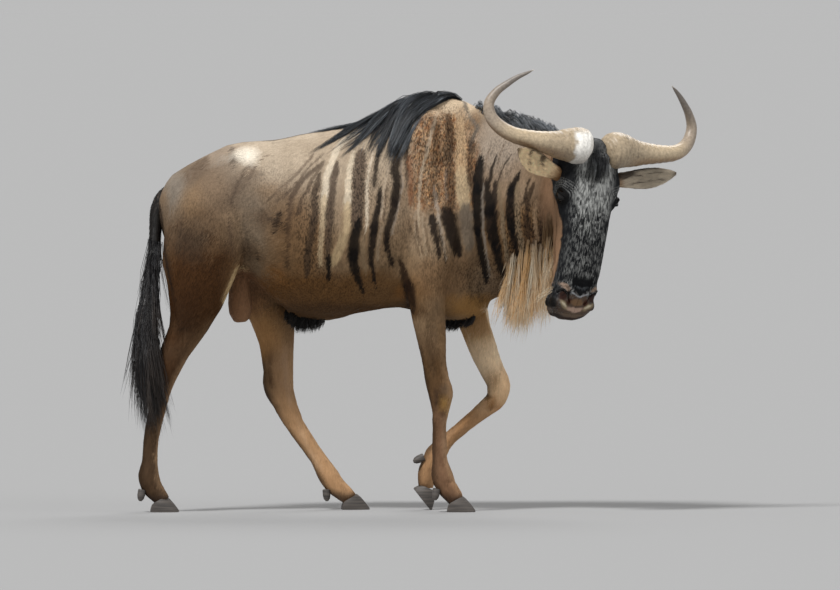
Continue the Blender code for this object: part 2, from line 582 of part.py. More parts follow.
def ear_shape(side, sides=14, steps=1):
    """A leaf-shaped cup on a short stalk: each section is a ring whose front half folds in as it opens."""
    root, axis, wide, faces = ear_frame(side)
    bm = bmesh.new()
    rings = []
    for share, half, depth, opened, bow in refine(EAR_SECTIONS, steps, 1):
        centre = root + axis * share + wide * bow
        ring = bmesh.ops.create_circle(bm, cap_ends=False, segments=sides, radius=1.0)["verts"]
        for vert in ring:
            front = vert.co.y * depth
            if vert.co.y > 0:
                front = vert.co.y * (depth * (1 - opened) - max(depth - EAR_WALL, 0.0) * opened)
            rim = EAR_WALL * 0.4 * vert.co.y * opened
            vert.co = centre + wide * (vert.co.x * half) + faces * (front + rim)
        rings.append(ring_edges(ring))
    join_rings(bm, rings)
    return bm


def loft_hanging(bm, stations, sides=16, steps=3):
    """A hanging round form such as the tail: x, y, z, half size fore and aft, half size sideways."""
    loft_limb(bm, [(x, y, z, side, fore, fore) for x, y, z, fore, side in stations], sides, steps)


def add_form(bm, matrix, radii, rings=14, sides=20):
    """A rounded form: a sphere stretched to its three radii in the given frame."""
    part = bmesh.new()
    scale = Matrix.Diagonal((*radii, 1))
    bmesh.ops.create_uvsphere(part, u_segments=sides, v_segments=rings, radius=1.0, matrix=matrix @ scale)
    merge_into(bm, part)


def add_body_forms(bm):
    for centre, radii, turn, paired in BODY_FORMS:
        for side in ((1, -1) if paired else (1,)):
            place = Matrix.Translation((centre[0], centre[1] * side, centre[2]))
            add_form(bm, place @ Matrix.Rotation(math.radians(turn), 4, "Y"), radii)


def add_head_forms(bm):
    f, l, u = EYE_AT
    for side in (1, -1):
        add_form(bm, head_matrix((f - 0.004, (l - 0.010) * side, u - 0.006)), (0.040, 0.026, 0.036))  # orbit
        add_form(bm, head_matrix((f - 0.050, (l - 0.014) * side, u + 0.002)), (0.050, 0.028, 0.034))  # brow
        add_form(bm, head_matrix((f + 0.080, (l - 0.026) * side, u - 0.030), 0, 0, -10 * side),
                 (0.090, 0.016, 0.020))  # cheek bone
        add_form(bm, head_matrix((0.105, 0.058 * side, -0.135)), (0.090, 0.034, 0.066))  # jaw muscle
        add_form(bm, head_matrix((0.496, 0.043 * side, -0.050)), (0.036, 0.032, 0.030))  # nostril pad
        add_form(bm, head_matrix((0.500, 0.040 * side, -0.092)), (0.050, 0.030, 0.022))  # upper lip
    add_form(bm, head_matrix((0.512, 0.0, -0.121)), (0.036, 0.042, 0.014))  # lower lip
    add_form(bm, head_matrix((0.0, 0.0, -0.025)), (0.030, 0.075, 0.036))  # poll under the horns


def flesh_shape():
    """All the flesh as overlapping closed forms in one mesh."""
    bm = bmesh.new()
    loft_trunk(bm)
    loft_neck(bm)
    loft_head(bm, SKULL)
    loft_head(bm, JAW)
    for limb in (FORE_RIGHT, FORE_LEFT, HIND_RIGHT, HIND_LEFT):
        loft_limb(bm, limb)
    add_body_forms(bm)
    add_head_forms(bm)
    return bm


# ---------------------------------------------------------------- hard parts
# Claw sections from the sole up: height, toe end, heel end, half width
CLAW_SECTIONS = [
    (0.000, 0.000, -0.088, 0.0165),
    (0.006, -0.001, -0.0895, 0.0170),
    (0.024, -0.014, -0.0880, 0.0168),
    (0.042, -0.030, -0.0840, 0.0158),
    (0.050, -0.040, -0.0800, 0.0140),
]
HEEL_LOW = 0.55  # height of the heel as a share of the toe's


def claw_shape(limb, outer, sides=10):
    """One claw of a cloven hoof, its toe tip at the foot's place on the floor."""
    x, y, turn, tip = FEET[limb]
    lateral = (1 if "left" in limb else -1) * (1 if outer else -1)
    bm = bmesh.new()
    rings = []
    for height, toe, heel, half in CLAW_SECTIONS:
        ring = bmesh.ops.create_circle(bm, cap_ends=False, segments=sides, radius=1.0)["verts"]
        for vert in ring:
            ahead = (1 + vert.co.x) / 2
            narrow = 1 - 0.45 * max(vert.co.x, 0) ** 2 - 0.12 * max(-vert.co.x, 0) ** 2
            inner = 0.82 if vert.co.y * lateral < 0 else 1.0
            level = height * (HEEL_LOW + (1 - HEEL_LOW) * ahead)
            bend = -lateral * TOE_IN * ahead ** 3
            vert.co = Vector((heel + (toe - heel) * ahead, vert.co.y * half * narrow * inner + bend, level))
        rings.append(ring_edges(ring))
    join_rings(bm, rings)
    heel = Matrix.Translation((CLAW_HEEL, 0, 0))
    splay = heel.inverted() @ Matrix.Rotation(math.radians(FOOT_SPREAD * lateral), 4, "Z") @ heel
    side_step = Matrix.Translation((0, lateral * (CLAW_HALF_WIDTH + CLEFT / 2), 0))
    tipped = Matrix.Rotation(math.radians(tip), 4, "Y")
    turned = Matrix.Rotation(math.radians(turn), 4, "Z")
    sink = Matrix.Translation((0, 0, -0.002 if tip else 0.0))
    place = Matrix.Translation((x, y, 0)) @ sink @ turned @ tipped @ side_step @ splay
    bmesh.ops.transform(bm, matrix=place, verts=bm.verts)
    if tip:
        faces = bm.faces[:] + bm.edges[:] + bm.verts[:]
        cut = bmesh.ops.bisect_plane(bm, geom=faces, plane_co=(0, 0, 0), plane_no=(0, 0, 1), clear_inner=True)
        rim = [item for item in cut["geom_cut"] if isinstance(item, bmesh.types.BMEdge)]
        bmesh.ops.edgeloop_fill(bm, edges=rim)
    return bm


DEWCLAW_SECTIONS = [(0.000, 0.0120), (0.018, 0.0122), (0.029, 0.0098), (0.036, 0.0045)]


def dewclaw_shape(limb, outer, sides=6):
    """A blunt horny stub behind the pastern, beside its neighbour."""
    lateral = (1 if "left" in limb else -1) * (1 if outer else -1)
    x, y, z, wide, front, back = LIMBS[limb][-3]
    above, below = LIMBS[limb][-4], LIMBS[limb][-2]
    down = Vector((below[0] - above[0], 0, below[2] - above[2])).normalized()
    behind = -down.cross(Vector((0, 1, 0)))
    start = Vector((x, y + lateral * 0.0165, z)) + behind * back * 0.95 - down * 0.012
    along = (behind * 0.62 + down * 0.80 + Vector((0, lateral * 0.18, 0))).normalized()
    across = along.cross(Vector((0, 1, 0))).normalized()
    bm = bmesh.new()
    rings = [add_ring(bm, sides, start + along * reach, across.cross(along), across, radius, radius, radius)
             for reach, radius in DEWCLAW_SECTIONS]
    join_rings(bm, rings)
    return bm


def eye_shape(side):
    sign = 1 if side == "left" else -1
    f, l, u = EYE_AT
    bm = bmesh.new()
    add_form(bm, head_matrix((f, l * sign, u)), (EYE_RADIUS,) * 3, 7, 12)
    return bm


# ---------------------------------------------------------------- lids, lips and nostrils
def bent_bar(bm, points, across, radii, sides=5):
    """A tapered bar through `points`; radii are (half height, half depth) for each point."""
    part = bmesh.new()
    rings = []
    for index, point in enumerate(points):
        along = (points[min(index + 1, len(points) - 1)] - points[max(index - 1, 0)]).normalized()
        up = along.cross(across[index]).normalized()
        tall, deep = radii[index]
        rings.append(add_ring(part, sides, point, up.cross(along), up, deep, tall, tall))
    join_rings(part, rings)
    merge_into(bm, part)


def eye_frame(side):
    """Centre of the eye, the way it looks, the way to the nose in its plane, and up in its plane."""
    sign = 1 if side == "left" else -1
    f, l, u = EYE_AT
    a, b, c = EYE_LOOKS
    looks = (NOSE * a + LEFT * (b * sign) + BROW * c).normalized()
    ahead = BROW * 0.92 + NOSE * 0.38
    ahead = (ahead - looks * ahead.dot(looks)).normalized()
    rise = looks.cross(ahead)
    return on_head(f, l * sign, u), looks, ahead, rise * math.copysign(1.0, -rise.dot(NOSE))


def lid_bars(side):
    """Upper and lower lids: two tapered bars that meet at the corners of the eye."""
    centre, looks, ahead, rise = eye_frame(side)
    bars = []
    for lift, thick in ((0.0100, 0.0062), (-0.0095, 0.0048)):
        bm = bmesh.new()
        points, across, radii = [], [], []
        for step in range(8):
            angle = math.pi * step / 7
            spot = ahead * (0.0205 * math.cos(angle)) + rise * (lift * math.sin(angle))
            out = math.sqrt(max((EYE_RADIUS + 0.0010) ** 2 - spot.length_squared, 0.0))
            point = centre + spot + looks * out
            points.append(point)
            across.append((point - centre).normalized())
            radii.append((thick * (0.55 + 0.45 * math.sin(angle)), thick * (0.5 + 0.3 * math.sin(angle))))
        bent_bar(bm, points, across, radii)
        bars.append(make_object("lid", bm))
    return bars


def nostril_cutter(side):
    """A comma-shaped hollow that arches over the flap of the nostril and runs down beside the lip's groove."""
    sign = 1 if side == "left" else -1
    bm = bmesh.new()
    points = [on_head(f, l * sign, u) for f, l, u in NOSTRIL]
    across = [LEFT * sign * 0.45 + BROW] * len(points)
    bent_bar(bm, points, across, NOSTRIL_SIZES, 8)
    return bm


def nostril_rim(side):
    """The raised roll of skin round the upper edge of a nostril."""
    sign = 1 if side == "left" else -1
    bm = bmesh.new()
    points = [on_head(f - NOSTRIL_ROLL, l * sign, u - 0.001) for f, l, u in NOSTRIL[:-1]]
    across = [LEFT * sign * 0.45 + BROW] * len(points)
    bent_bar(bm, points, across, [(0.003, 0.004), (0.005, 0.006), (0.006, 0.007), (0.005, 0.006), (0.003, 0.003)])
    return make_object("rim", bm)


# Nostril of the left side in the head's frame, from its outer end round to the lip: f, l, u; half height, half depth
NOSTRIL = [(0.472, 0.0690, -0.034), (0.460, 0.0640, -0.021), (0.461, 0.0530, -0.013), (0.470, 0.0410, -0.011),
           (0.484, 0.0350, -0.014), (0.498, 0.0270, -0.020)]
NOSTRIL_SIZES = [(0.002, 0.006), (0.0035, 0.010), (0.0045, 0.013), (0.0055, 0.014), (0.0040, 0.011), (0.002, 0.006)]
NOSTRIL_ROLL = 0.0075  # how far the rim lies up the nose from the opening
MOUTH_LEVEL = -0.100  # height of the corner of the mouth
MOUTH_RISE = 0.060  # how much higher the lips part in front
MOUTH_CORNER = 0.430
MOUTH_REACH = 0.106  # from the corners to the front of the lips


def mouth_cutter():
    """A narrow slot round the muzzle that parts the lips."""
    bm = bmesh.new()
    points, across, radii = [], [], []
    for step in range(15):
        angle = math.radians(-90 + 180 * step / 14)
        ahead = max(math.cos(angle), 0.0) ** 0.7
        point = on_head(MOUTH_CORNER + MOUTH_REACH * ahead, 0.067 * math.sin(angle), MOUTH_LEVEL + MOUTH_RISE * ahead)
        points.append(point)
        across.append((point - on_head(MOUTH_CORNER, 0, MOUTH_LEVEL)).normalized())
        radii.append((0.0016, 0.012))
    bent_bar(bm, points, across, radii, 4)
    return bm


# ---------------------------------------------------------------- building the nodes
def remesh(item, voxel):
    shell = item.modifiers.new("Remesh", "REMESH")
    shell.mode = "VOXEL"
    shell.voxel_size = voxel
    apply_modifiers(item)


def soften(item, weights, iterations):
    """Smooths the mesh where `weights` gives more than zero."""
    group = item.vertex_groups.new(name="soft")
    for index, weight in enumerate(weights):
        if weight > 0:
            group.add([index], weight, "REPLACE")
    smooth = item.modifiers.new("Smooth", "SMOOTH")
    smooth.factor = 0.5
    smooth.iterations = iterations
    smooth.vertex_group = "soft"
    apply_modifiers(item)
    item.vertex_groups.clear()


def decimate(item, triangles, weights):
    """Collapses edges down to a number of triangles, keeping more of them where `weights` is low."""
    group = item.vertex_groups.new(name="coarse")
    for index, weight in enumerate(weights):
        group.add([index], weight, "REPLACE")
    item.data.calc_loop_triangles()
    thin = item.modifiers.new("Decimate", "DECIMATE")
    thin.ratio = triangles / len(item.data.loop_triangles)
    thin.vertex_group = "coarse"
    thin.vertex_group_factor = HEAD_DETAIL
    thin.use_collapse_triangulate = True
    apply_modifiers(item)
    item.vertex_groups.clear()


def head_share(point):
    """1 on the head in front of the neck, falling to 0 behind the jaw."""
    offset = point - POLL
    depth = offset.dot(BROW)
    reach = offset.dot(NOSE)
    behind = max(-0.17 - depth, 0.0) / 0.08
    above = max(-0.05 - reach, 0.0) / 0.05
    return max(0.0, 1.0 - behind - above) if offset.length < 0.75 and depth > -0.30 else 0.0


def limb_share(point):
    """1 on the lower legs, 0 from the elbow and stifle up."""
    return min(max((0.60 - point.z) / 0.12, 0.0), 1.0)


def coarseness(point):
    """How readily the mesh may be thinned at a point: least on the head, less on the lower legs."""
    head = head_share(point)
    return 1.0 - 0.13 * head - 0.06 * limb_share(point) * (1 - head)


def closed(bm):
    return all(len(edge.link_faces) == 2 for edge in bm.edges)


def weld_and_clean(item, whole=True):
    """Makes triangles, merges doubles where that leaves the mesh closed, and says whether it is closed.

    A whole keeps only its largest surface.
    """
    for method in ("EAR_CLIP", "BEAUTY"):
        bm = bmesh.new()
        bm.from_mesh(item.data)
        bmesh.ops.triangulate(bm, faces=bm.faces, quad_method="FIXED", ngon_method=method)
        if whole:
            keep_largest(bm)
        if closed(bm):
            break
    merged = bm.copy()
    bmesh.ops.remove_doubles(merged, verts=merged.verts, dist=0.00001)
    bmesh.ops.dissolve_degenerate(merged, edges=merged.edges, dist=0.000005)
    best = merged if closed(merged) else bm
    best.to_mesh(item.data)
    sound = closed(best) and len(best.faces) > 0
    merged.free()
    bm.free()
    return sound


def islands(bm):
    """Groups of connected faces."""
    seen = set()
    found = []
    for start in bm.faces:
        if start in seen:
            continue
        seen.add(start)
        group = [start]
        for face in group:
            for edge in face.edges:
                near = [other for other in edge.link_faces if other not in seen]
                seen.update(near)
                group.extend(near)
        found.append(group)
    return found


def keep_largest(bm):
    groups = sorted(islands(bm), key=lambda group: sum(face.calc_area() for face in group))
    scraps = [face for group in groups[:-1] for face in group]
    bmesh.ops.delete(bm, geom=scraps, context="FACES")
    loose = [vert for vert in bm.verts if not vert.link_faces]
    bmesh.ops.delete(bm, geom=loose, context="VERTS")


def surface(item):
    bm = bmesh.new()
    bm.from_mesh(item.data)
    tree = BVHTree.FromBMesh(bm)
    bm.free()
    return tree


def swollen(item, margin):
    """A copy of a node grown by a margin, to cut the room it sits in."""
    bm = bmesh.new()
    bm.from_mesh(item.data)
    bm.normal_update()
    moves = [(vert, vert.normal * margin * vert.calc_shell_factor()) for vert in bm.verts]
    for vert, move in moves:
        vert.co += move
    return make_object("swollen", bm)


def pocket(parent, child):
    """Cuts room for a child node out of its parent, a little more of it where the two still cross."""
    for margin in (GAP * 1.3, GAP * 1.9, GAP * 2.7):
        tool = swollen(child, margin)
        boolean(parent, "DIFFERENCE", tool)
        discard(tool)
        if not surface(parent).overlap(surface(child)):
            break


def cut_disc(point, normal, radius, sides=24):
    bm = bmesh.new()
    turn = Vector((0, 0, 1)).rotation_difference(Vector(normal)).to_matrix().to_4x4()
    bmesh.ops.create_cone(bm, cap_ends=True, segments=sides, radius1=radius, radius2=radius, depth=GAP,
                          matrix=Matrix.Translation(point) @ turn)
    return make_object("cut", bm)


FLESH_NODES = {
    "torso": (-0.300, 0.000, 0.900),
    "neck": (0.340, -0.050, 0.990),
    "foreleg_right_upper": (0.062, -0.132, 0.530),
    "foreleg_right_lower": (0.090, -0.112, 0.220),
    "foreleg_left_upper": (0.225, 0.130, 0.530),
    "foreleg_left_lower": (0.140, 0.102, 0.250),
    "hindleg_right_upper": (-0.700, -0.125, 0.640),
    "hindleg_right_lower": (-0.820, -0.116, 0.280),
    "hindleg_left_upper": (-0.455, 0.126, 0.620),
    "hindleg_left_lower": (-0.360, 0.118, 0.250),
}


def head_plane():
    """Point and direction of the cut between neck and head, which points to the head."""
    (f, l, u), (along, across, up), radius = HEAD_CUT
    return on_head(f, l, u), (NOSE * along + LEFT * across + BROW * up).normalized()


def part_flesh(flesh, look):
    """Cuts the flesh by thin discs and names each loose piece by the landmark it lies nearest to."""
    for point, normal, radius in CUTS + [(*head_plane(), HEAD_CUT[2])]:
        tool = cut_disc(point, normal, radius)
        boolean(flesh, "DIFFERENCE", tool, whole=False)
        discard(tool)
    landmarks = {name: Vector(place) for name, place in FLESH_NODES.items()}
    landmarks["head"] = on_head(0.25, 0.0, -0.06)
    bm = bmesh.new()
    bm.from_mesh(flesh.data)
    groups = sorted(islands(bm), key=len, reverse=True)[:len(landmarks)]
    nodes = {}
    for group in groups:
        middle = sum((face.calc_center_median() * face.calc_area() for face in group), Vector())
        middle /= sum(face.calc_area() for face in group)
        name = min(landmarks, key=lambda key: (landmarks[key] - middle).length)
        wanted = {face.index for face in group}
        piece = bm.copy()
        piece.faces.ensure_lookup_table()
        spare = [face for face in piece.faces if face.index not in wanted]
        bmesh.ops.delete(piece, geom=spare, context="FACES")
        nodes[name] = make_object(name, piece, look)
        weld_and_clean(nodes[name])
    bm.free()
    discard(flesh)
    return nodes


def build_flesh():
    flesh = make_object("flesh", flesh_shape())
    remesh(flesh, FLESH_VOXEL)
    points = [vert.co.copy() for vert in flesh.data.vertices]
    body = [max(0.0, 1.0 - head_share(point) - limb_share(point)) for point in points]
    soften(flesh, body, 30)
    soften(flesh, [1.0] * len(points), 3)
    points = [vert.co.copy() for vert in flesh.data.vertices]
    decimate(flesh, FLESH_TRIANGLES, [coarseness(point) for point in points])
    return flesh


# ---------------------------------------------------------------- locks of long hair
def lock_path(tree, root, out, lock, avoid):
    """Points and flat-side directions of one lock, which leaves its sunk root and bends over to its lie."""
    heading = lock["heading"].normalized()
    place = root + out * lock["lift"] * 0.4
    points = [root - out * ROOT_SINK - heading * ROOT_SINK * 0.3, place]
    sides = [lock["flat"] or out] * 2
    span = lock["length"] / LOCK_SPANS
    for step in range(1, LOCK_SPANS + 1):
        share = step / LOCK_SPANS
        bend = min(share * lock["bend"], 1.0)
        way = (heading * (1 - bend) + lock["lie"].normalized() * bend).normalized()
        place = place + way * span
        near, out = tree.find_nearest(place)[:2]
        height = (place - near).dot(out)
        low = lock["lift"] * (1 - 0.6 * share)
        if height < low:
            place = near + out * low
        elif lock["hug"]:
            place = place - out * (height - low) * lock["hug"] * share
        for other, room in avoid:
            spot, away, _, gap = other.find_nearest(place)
            inside = (place - spot).dot(away) < 0
            if gap < room:
                place = spot + (away if inside else (place - spot).normalized()) * room
        points.append(place)
        sides.append(out if lock["hug"] else sides[0])
    return points, sides


def lock_shape(points, sides, wide, thick, tilt, root):
    """One flat lock, ridged on its outer face, that swells from its root and tapers to its tip."""
    bm = bmesh.new()
    rings = []
    for index, point in enumerate(points[:-1]):
        along = (points[index + 1] - points[max(index - 1, 0)]).normalized()
        across = along.cross(sides[index]).normalized()
        over = across.cross(along)
        across, over = across * math.cos(tilt) + over * math.sin(tilt), over * math.cos(tilt) - across * math.sin(tilt)
        share = index / (len(points) - 1)
        half = wide * (1 - share ** 2.2) * (root + (1 - root) * math.sin(math.pi * min(share * 1.6, 0.5)))
        deep = thick * (0.4 + 0.6 * (1 - share))
        ring = bmesh.ops.create_circle(bm, cap_ends=False, segments=3, radius=1.0)["verts"]
        for vert, (side, rise) in zip(ring, ((0, 0.65), (-1, -0.35), (1, -0.35))):
            vert.co = point + across * (side * half) + over * (rise * deep)
        rings.append(ring_edges(ring))
    for first, second in zip(rings, rings[1:]):
        bmesh.ops.bridge_loops(bm, edges=first + second)
    bmesh.ops.edgeloop_fill(bm, edges=rings[0])
    tip = bm.verts.new(points[-1])
    for edge in rings[-1]:
        bm.faces.new((*edge.verts, tip))
    return make_object("lock", bm)


def grow(node, rows, start, avoid=()):
    """Rows of locks on a node; start(tree, along, aside) gives a root and the way out of the skin there."""
    rng = random.Random(SEED)
    tree = surface(node)
    locks = []
    for row in rows:
        for index in range(row["count"]):
            share = (index + 0.5) / row["count"]
            along = row["start"] + (row["end"] - row["start"]) * (share + rng.uniform(-0.25, 0.25) / row["count"])
            root, out = start(tree, along, row["aside"] + rng.uniform(-0.006, 0.006))
            if root is None:
                continue
            sway = Vector((rng.uniform(-1, 1), rng.uniform(-1, 1), rng.uniform(-0.4, 0.4))) * row.get("sway", 0.07)
            full = row["short"] + (1 - row["short"]) * math.sin(math.pi * (0.12 + 0.76 * share) ** row.get("peak", 1.0))
            turn = rng.uniform(-0.2, 0.2)
            lock = {
                "heading": Vector(row["heading"]) + sway,
                "lie": Vector(row["lie"]) + sway,
                "length": row["length"] * full * rng.uniform(0.86, 1.10),
                "lift": row["lift"] * rng.uniform(0.9, 1.15),
                "bend": row.get("bend", 1.6),
                "hug": row.get("hug", 0.0),
                "flat": Vector((math.sin(turn), -math.cos(turn), 0.0)) if row.get("sheet") else None,
            }
            points, sides = lock_path(tree, root, out, lock, avoid)
            wide = row["wide"] * rng.uniform(0.85, 1.15)
            tilt = math.radians(row.get("tilt", 0) + rng.uniform(-4, 4))
            locks.append(lock_shape(points, sides, wide, row["thick"], tilt, row.get("root", 0.5)))
    return locks


def neck_line(x):
    """Sideways place of the neck's middle at x."""
    xs = [row[0] for row in NECK]
    return float(np.interp(x, xs, [row[1] for row in NECK]))


def from_above(tree, x, aside):
    spot, out = tree.ray_cast(Vector((x, neck_line(x) + aside, 2.0)), Vector((0, 0, -1)))[:2]
    return spot, out


def from_below(tree, x, aside):
    spot, out = tree.ray_cast(Vector((x, neck_line(x) + aside, 0.0)), Vector((0, 0, 1)))[:2]
    return spot, out


def on_dock(tree, turn, share):
    """A root on the dock: a turn round it in half circles, at a share of its length from its base."""
    dock = np.array(TAIL_DOCK)
    at = share * (len(dock) - 1)
    x, y, z = (float(np.interp(at, range(len(dock)), dock[:, column])) for column in range(3))
    way = Vector((math.sin(math.pi * turn), math.cos(math.pi * turn), 0))
    spot, out = tree.ray_cast(Vector((x, y, z)) + way * 0.2, -way)[:2]
    return spot, out


def on_face(tree, f, aside):
    spot, out = tree.ray_cast(on_head(f, aside, 0.3), -BROW)[:2]
    return spot, out


def trim(node, point, normal):
    """Cuts off what reaches past a cut's plane on the side that the normal points to."""
    turn = Vector((0, 0, 1)).rotation_difference(normal).to_matrix().to_4x4()
    bm = bmesh.new()
    side = Matrix.Translation((0, 0, 1.0 - GAP * 0.6))
    bmesh.ops.create_cube(bm, size=2.0, matrix=Matrix.Translation(point) @ turn @ side)
    tool = make_object("beyond", bm)
    boolean(node, "DIFFERENCE", tool)
    discard(tool)


def join_forms(node, forms):
    """Fuses closed forms into their node with one union; where it fails, each half of them gets its own."""
    holder = bpy.data.collections.new("forms")
    for form in forms:
        for owner in list(form.users_collection):
            owner.objects.unlink(form)
        holder.objects.link(form)
    bpy.context.scene.collection.children.link(holder)
    joined = boolean(node, "UNION", tools=holder)
    bpy.data.collections.remove(holder)
    half = len(forms) // 2
    if half and not joined:
        join_forms(node, forms[:half])
        join_forms(node, forms[half:])
    else:
        for form in forms:
            discard(form)


def paint(item, look):
    item.data.materials.clear()
    item.data.materials.append(look)
    item.data.shade_smooth()
    item.data.set_sharp_from_angle(angle=math.radians(35))


def finish(item, look):
    """Moves a finished node into the model's frame, with its origin at the world's."""
    item.data.transform(Matrix.Translation(FRAME_SHIFT))
    paint(item, look)


def main():
    clear_scene()
    hide = material("short brown coat", HIDE, 0.75)
    hair = material("black hair", BLACK_HAIR, 0.55)
    horn = material("horn", HORN, 0.45)
    hoof = material("hoof horn", HOOF, 0.6)
    eyeball = material("wet eye", EYE, 0.08)

    nodes = part_flesh(build_flesh(), hide)
    looks = {name: hide for name in nodes}
    for side in ("left", "right"):
        join_forms(nodes["head"], lid_bars(side) + [nostril_rim(side)])
        for name, shape, look in (("horn_", horn_shape, horn), ("ear_", ear_shape, hide), ("eye_", eye_shape, eyeball)):
            nodes[name + side] = make_object(name + side, shape(side))
            looks[name + side] = look
            pocket(nodes["head"], nodes[name + side])
        cutter = make_object("nostril", nostril_cutter(side))
        boolean(nodes["head"], "DIFFERENCE", cutter)
        discard(cutter)
    cutter = make_object("mouth", mouth_cutter())
    boolean(nodes["head"], "DIFFERENCE", cutter)
    discard(cutter)

    skull = [(surface(nodes[name]), LOCK_ROOM) for name in ("head", "horn_left", "horn_right", "ear_left", "ear_right")]
    join_forms(nodes["torso"], grow(nodes["torso"], BACK_MANE, from_above) + grow(nodes["torso"], SHEATH_TUFT, from_below))
    join_forms(nodes["neck"], grow(nodes["neck"], BEARD, from_below, skull[:1]))
    join_forms(nodes["neck"], grow(nodes["neck"], NECK_MANE, from_above, skull))
    join_forms(nodes["head"], grow(nodes["head"], FORELOCK, on_face, skull[1:3]))
    withers, across = Vector(CUTS[0][0]), Vector(CUTS[0][1]).normalized()
    trim(nodes["torso"], withers, across)
    trim(nodes["neck"], withers, -across)
    trim(nodes["neck"], *head_plane())

    for name, stations, look in (("tail", TAIL_DOCK, hair), ("scrotum", SCROTUM, hide)):
        bm = bmesh.new()
        loft_hanging(bm, stations, 10, 1)
        nodes[name] = make_object(name, bm)
        looks[name] = look
        pocket(nodes["torso"], nodes[name])
    rear = [(surface(nodes[name]), LOCK_ROOM) for name in ("hindleg_right_upper", "hindleg_right_lower", "torso")]
    join_forms(nodes["tail"], grow(nodes["tail"], TASSEL_TIERS, on_dock, rear))
    for limb in FEET:
        foot = nodes[limb + "_lower"]
        for outer in (True, False):
            place = limb + ("_outer" if outer else "_inner")
            for kind, shape in (("claw_", claw_shape), ("dewclaw_", dewclaw_shape)):
                nodes[kind + place] = make_object(kind + place, shape(limb, outer))
                looks[kind + place] = hoof
                pocket(foot, nodes[kind + place])
    for name, item in nodes.items():
        finish(item, looks[name])


if __name__ == "__main__":
    main()
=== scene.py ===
"""Museum-style life-size model of a blue wildebeest bull: skin, coat, mane, beard, horns, hooves and stage.

Everything is made in the animal's own frame (+X ahead, +Y to its left, +Z up, metres, floor at zero) and
moved by FRAME_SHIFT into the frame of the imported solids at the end.
"""

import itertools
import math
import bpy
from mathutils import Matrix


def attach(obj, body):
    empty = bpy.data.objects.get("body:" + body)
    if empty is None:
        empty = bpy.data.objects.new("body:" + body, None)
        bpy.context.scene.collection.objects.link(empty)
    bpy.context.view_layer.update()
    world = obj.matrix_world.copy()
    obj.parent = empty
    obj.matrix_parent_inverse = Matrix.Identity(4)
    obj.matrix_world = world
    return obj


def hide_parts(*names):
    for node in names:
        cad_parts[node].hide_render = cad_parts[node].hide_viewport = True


bl_info = {
    "name": "Wildebeest Bull",
    "version": (1, 0, 0),
    "blender": (4, 5, 0),
    "location": "3D View > Sidebar > Wildebeest",
    "description": "Builds a walking wildebeest bull with its coat, mane and beard, and its studio",
    "category": "Object",
}

import bmesh
import bpy
import numpy as np
from bpy.props import FloatProperty, FloatVectorProperty, IntProperty, PointerProperty
from mathutils import Matrix, Vector
from mathutils.bvhtree import BVHTree

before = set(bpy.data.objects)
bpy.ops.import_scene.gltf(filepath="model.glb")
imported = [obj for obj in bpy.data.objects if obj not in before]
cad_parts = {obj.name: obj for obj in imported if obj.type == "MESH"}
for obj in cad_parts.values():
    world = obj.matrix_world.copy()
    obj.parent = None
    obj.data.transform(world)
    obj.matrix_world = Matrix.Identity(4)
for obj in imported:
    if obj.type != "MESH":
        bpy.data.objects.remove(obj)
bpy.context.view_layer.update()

FLESH_NODES = ["torso", "neck", "head", "scrotum", "foreleg_right_upper", "foreleg_right_lower",
    "foreleg_left_upper", "foreleg_left_lower", "hindleg_right_upper", "hindleg_right_lower",
    "hindleg_left_upper", "hindleg_left_lower"]


def linear(code):
    """An sRGB hex colour as linear red, green and blue."""
    parts = [int(code[index:index + 2], 16) / 255 for index in (0, 2, 4)]
    return tuple(part / 12.92 if part <= .04045 else ((part + .055) / 1.055) ** 2.4 for part in parts)


def metres(word):
    """A length written in millimetres, in metres."""
    return float(word + "e-3")


def spots(text):
    """Points written in millimetres with commas, in metres."""
    return [tuple(metres(word) for word in spot.split(",")) for spot in text.split()]


def table(columns, *rows):
    """Rows of cells: c a colour, m millimetres, n a plain number, v a point, p points up to the row's end.

    The last letter holds for every cell that follows.
    """
    reads = {"c": str, "m": metres, "n": float, "v": lambda word: spots(word)[0]}
    made = []
    for row in rows:
        words = row.split()
        cut = len(columns) - 1 if columns[-1] == "p" else len(words)
        cells = [reads[kind](word) for kind, word in zip(columns.ljust(cut, columns[-1]), words[:cut])]
        made.append(cells + [spots(" ".join(words[cut:]))] * (columns[-1] == "p"))
    return made


def flow(half="", **row):
    """A stream of hair, its lines and its half widths from root to tip written in millimetres."""
    lines = {key: spots(value) for key, value in row.items() if isinstance(value, str)}
    return {**row, **lines, "half": [metres(word) for word in half.split()]}


FRAME_SHIFT = Vector((-.01, .1215, 0.0))  # puts the origin under the middle of the model's box
# The head's own frame: F runs from the poll to the nose, L to its left, U out of the forehead.
POLL = Vector((.59, -.3, 1.163))
HEAD_TURN = math.radians(62)  # from straight ahead towards the animal's right
HEAD_DROP = math.radians(93)  # face line below the horizontal, so the chin is tucked in
HEAD_TILT = math.radians(6)  # sideways lean of the head

EYE_RADIUS = .0205
EYE_AT = (.162, .0905, -.03)  # F, L, U of the left eye's centre
EYE_LOOKS = (.06, .93, .36)

EAR_ROOT = (.098, .086, -.066)  # F, L, U on the left side
EAR_TIP = {"left": (.05, .276, .03), "right": (.031, .304, .033)}
EAR_WALL = .006

CLAW_HALF_WIDTH = .0145
CLEFT = .004  # between the two claws of a foot
CLAW_HEEL = .08  # from the toe back to where the two claws are nearest
TOE_IN = .007  # how far a claw's tip bends towards its neighbour

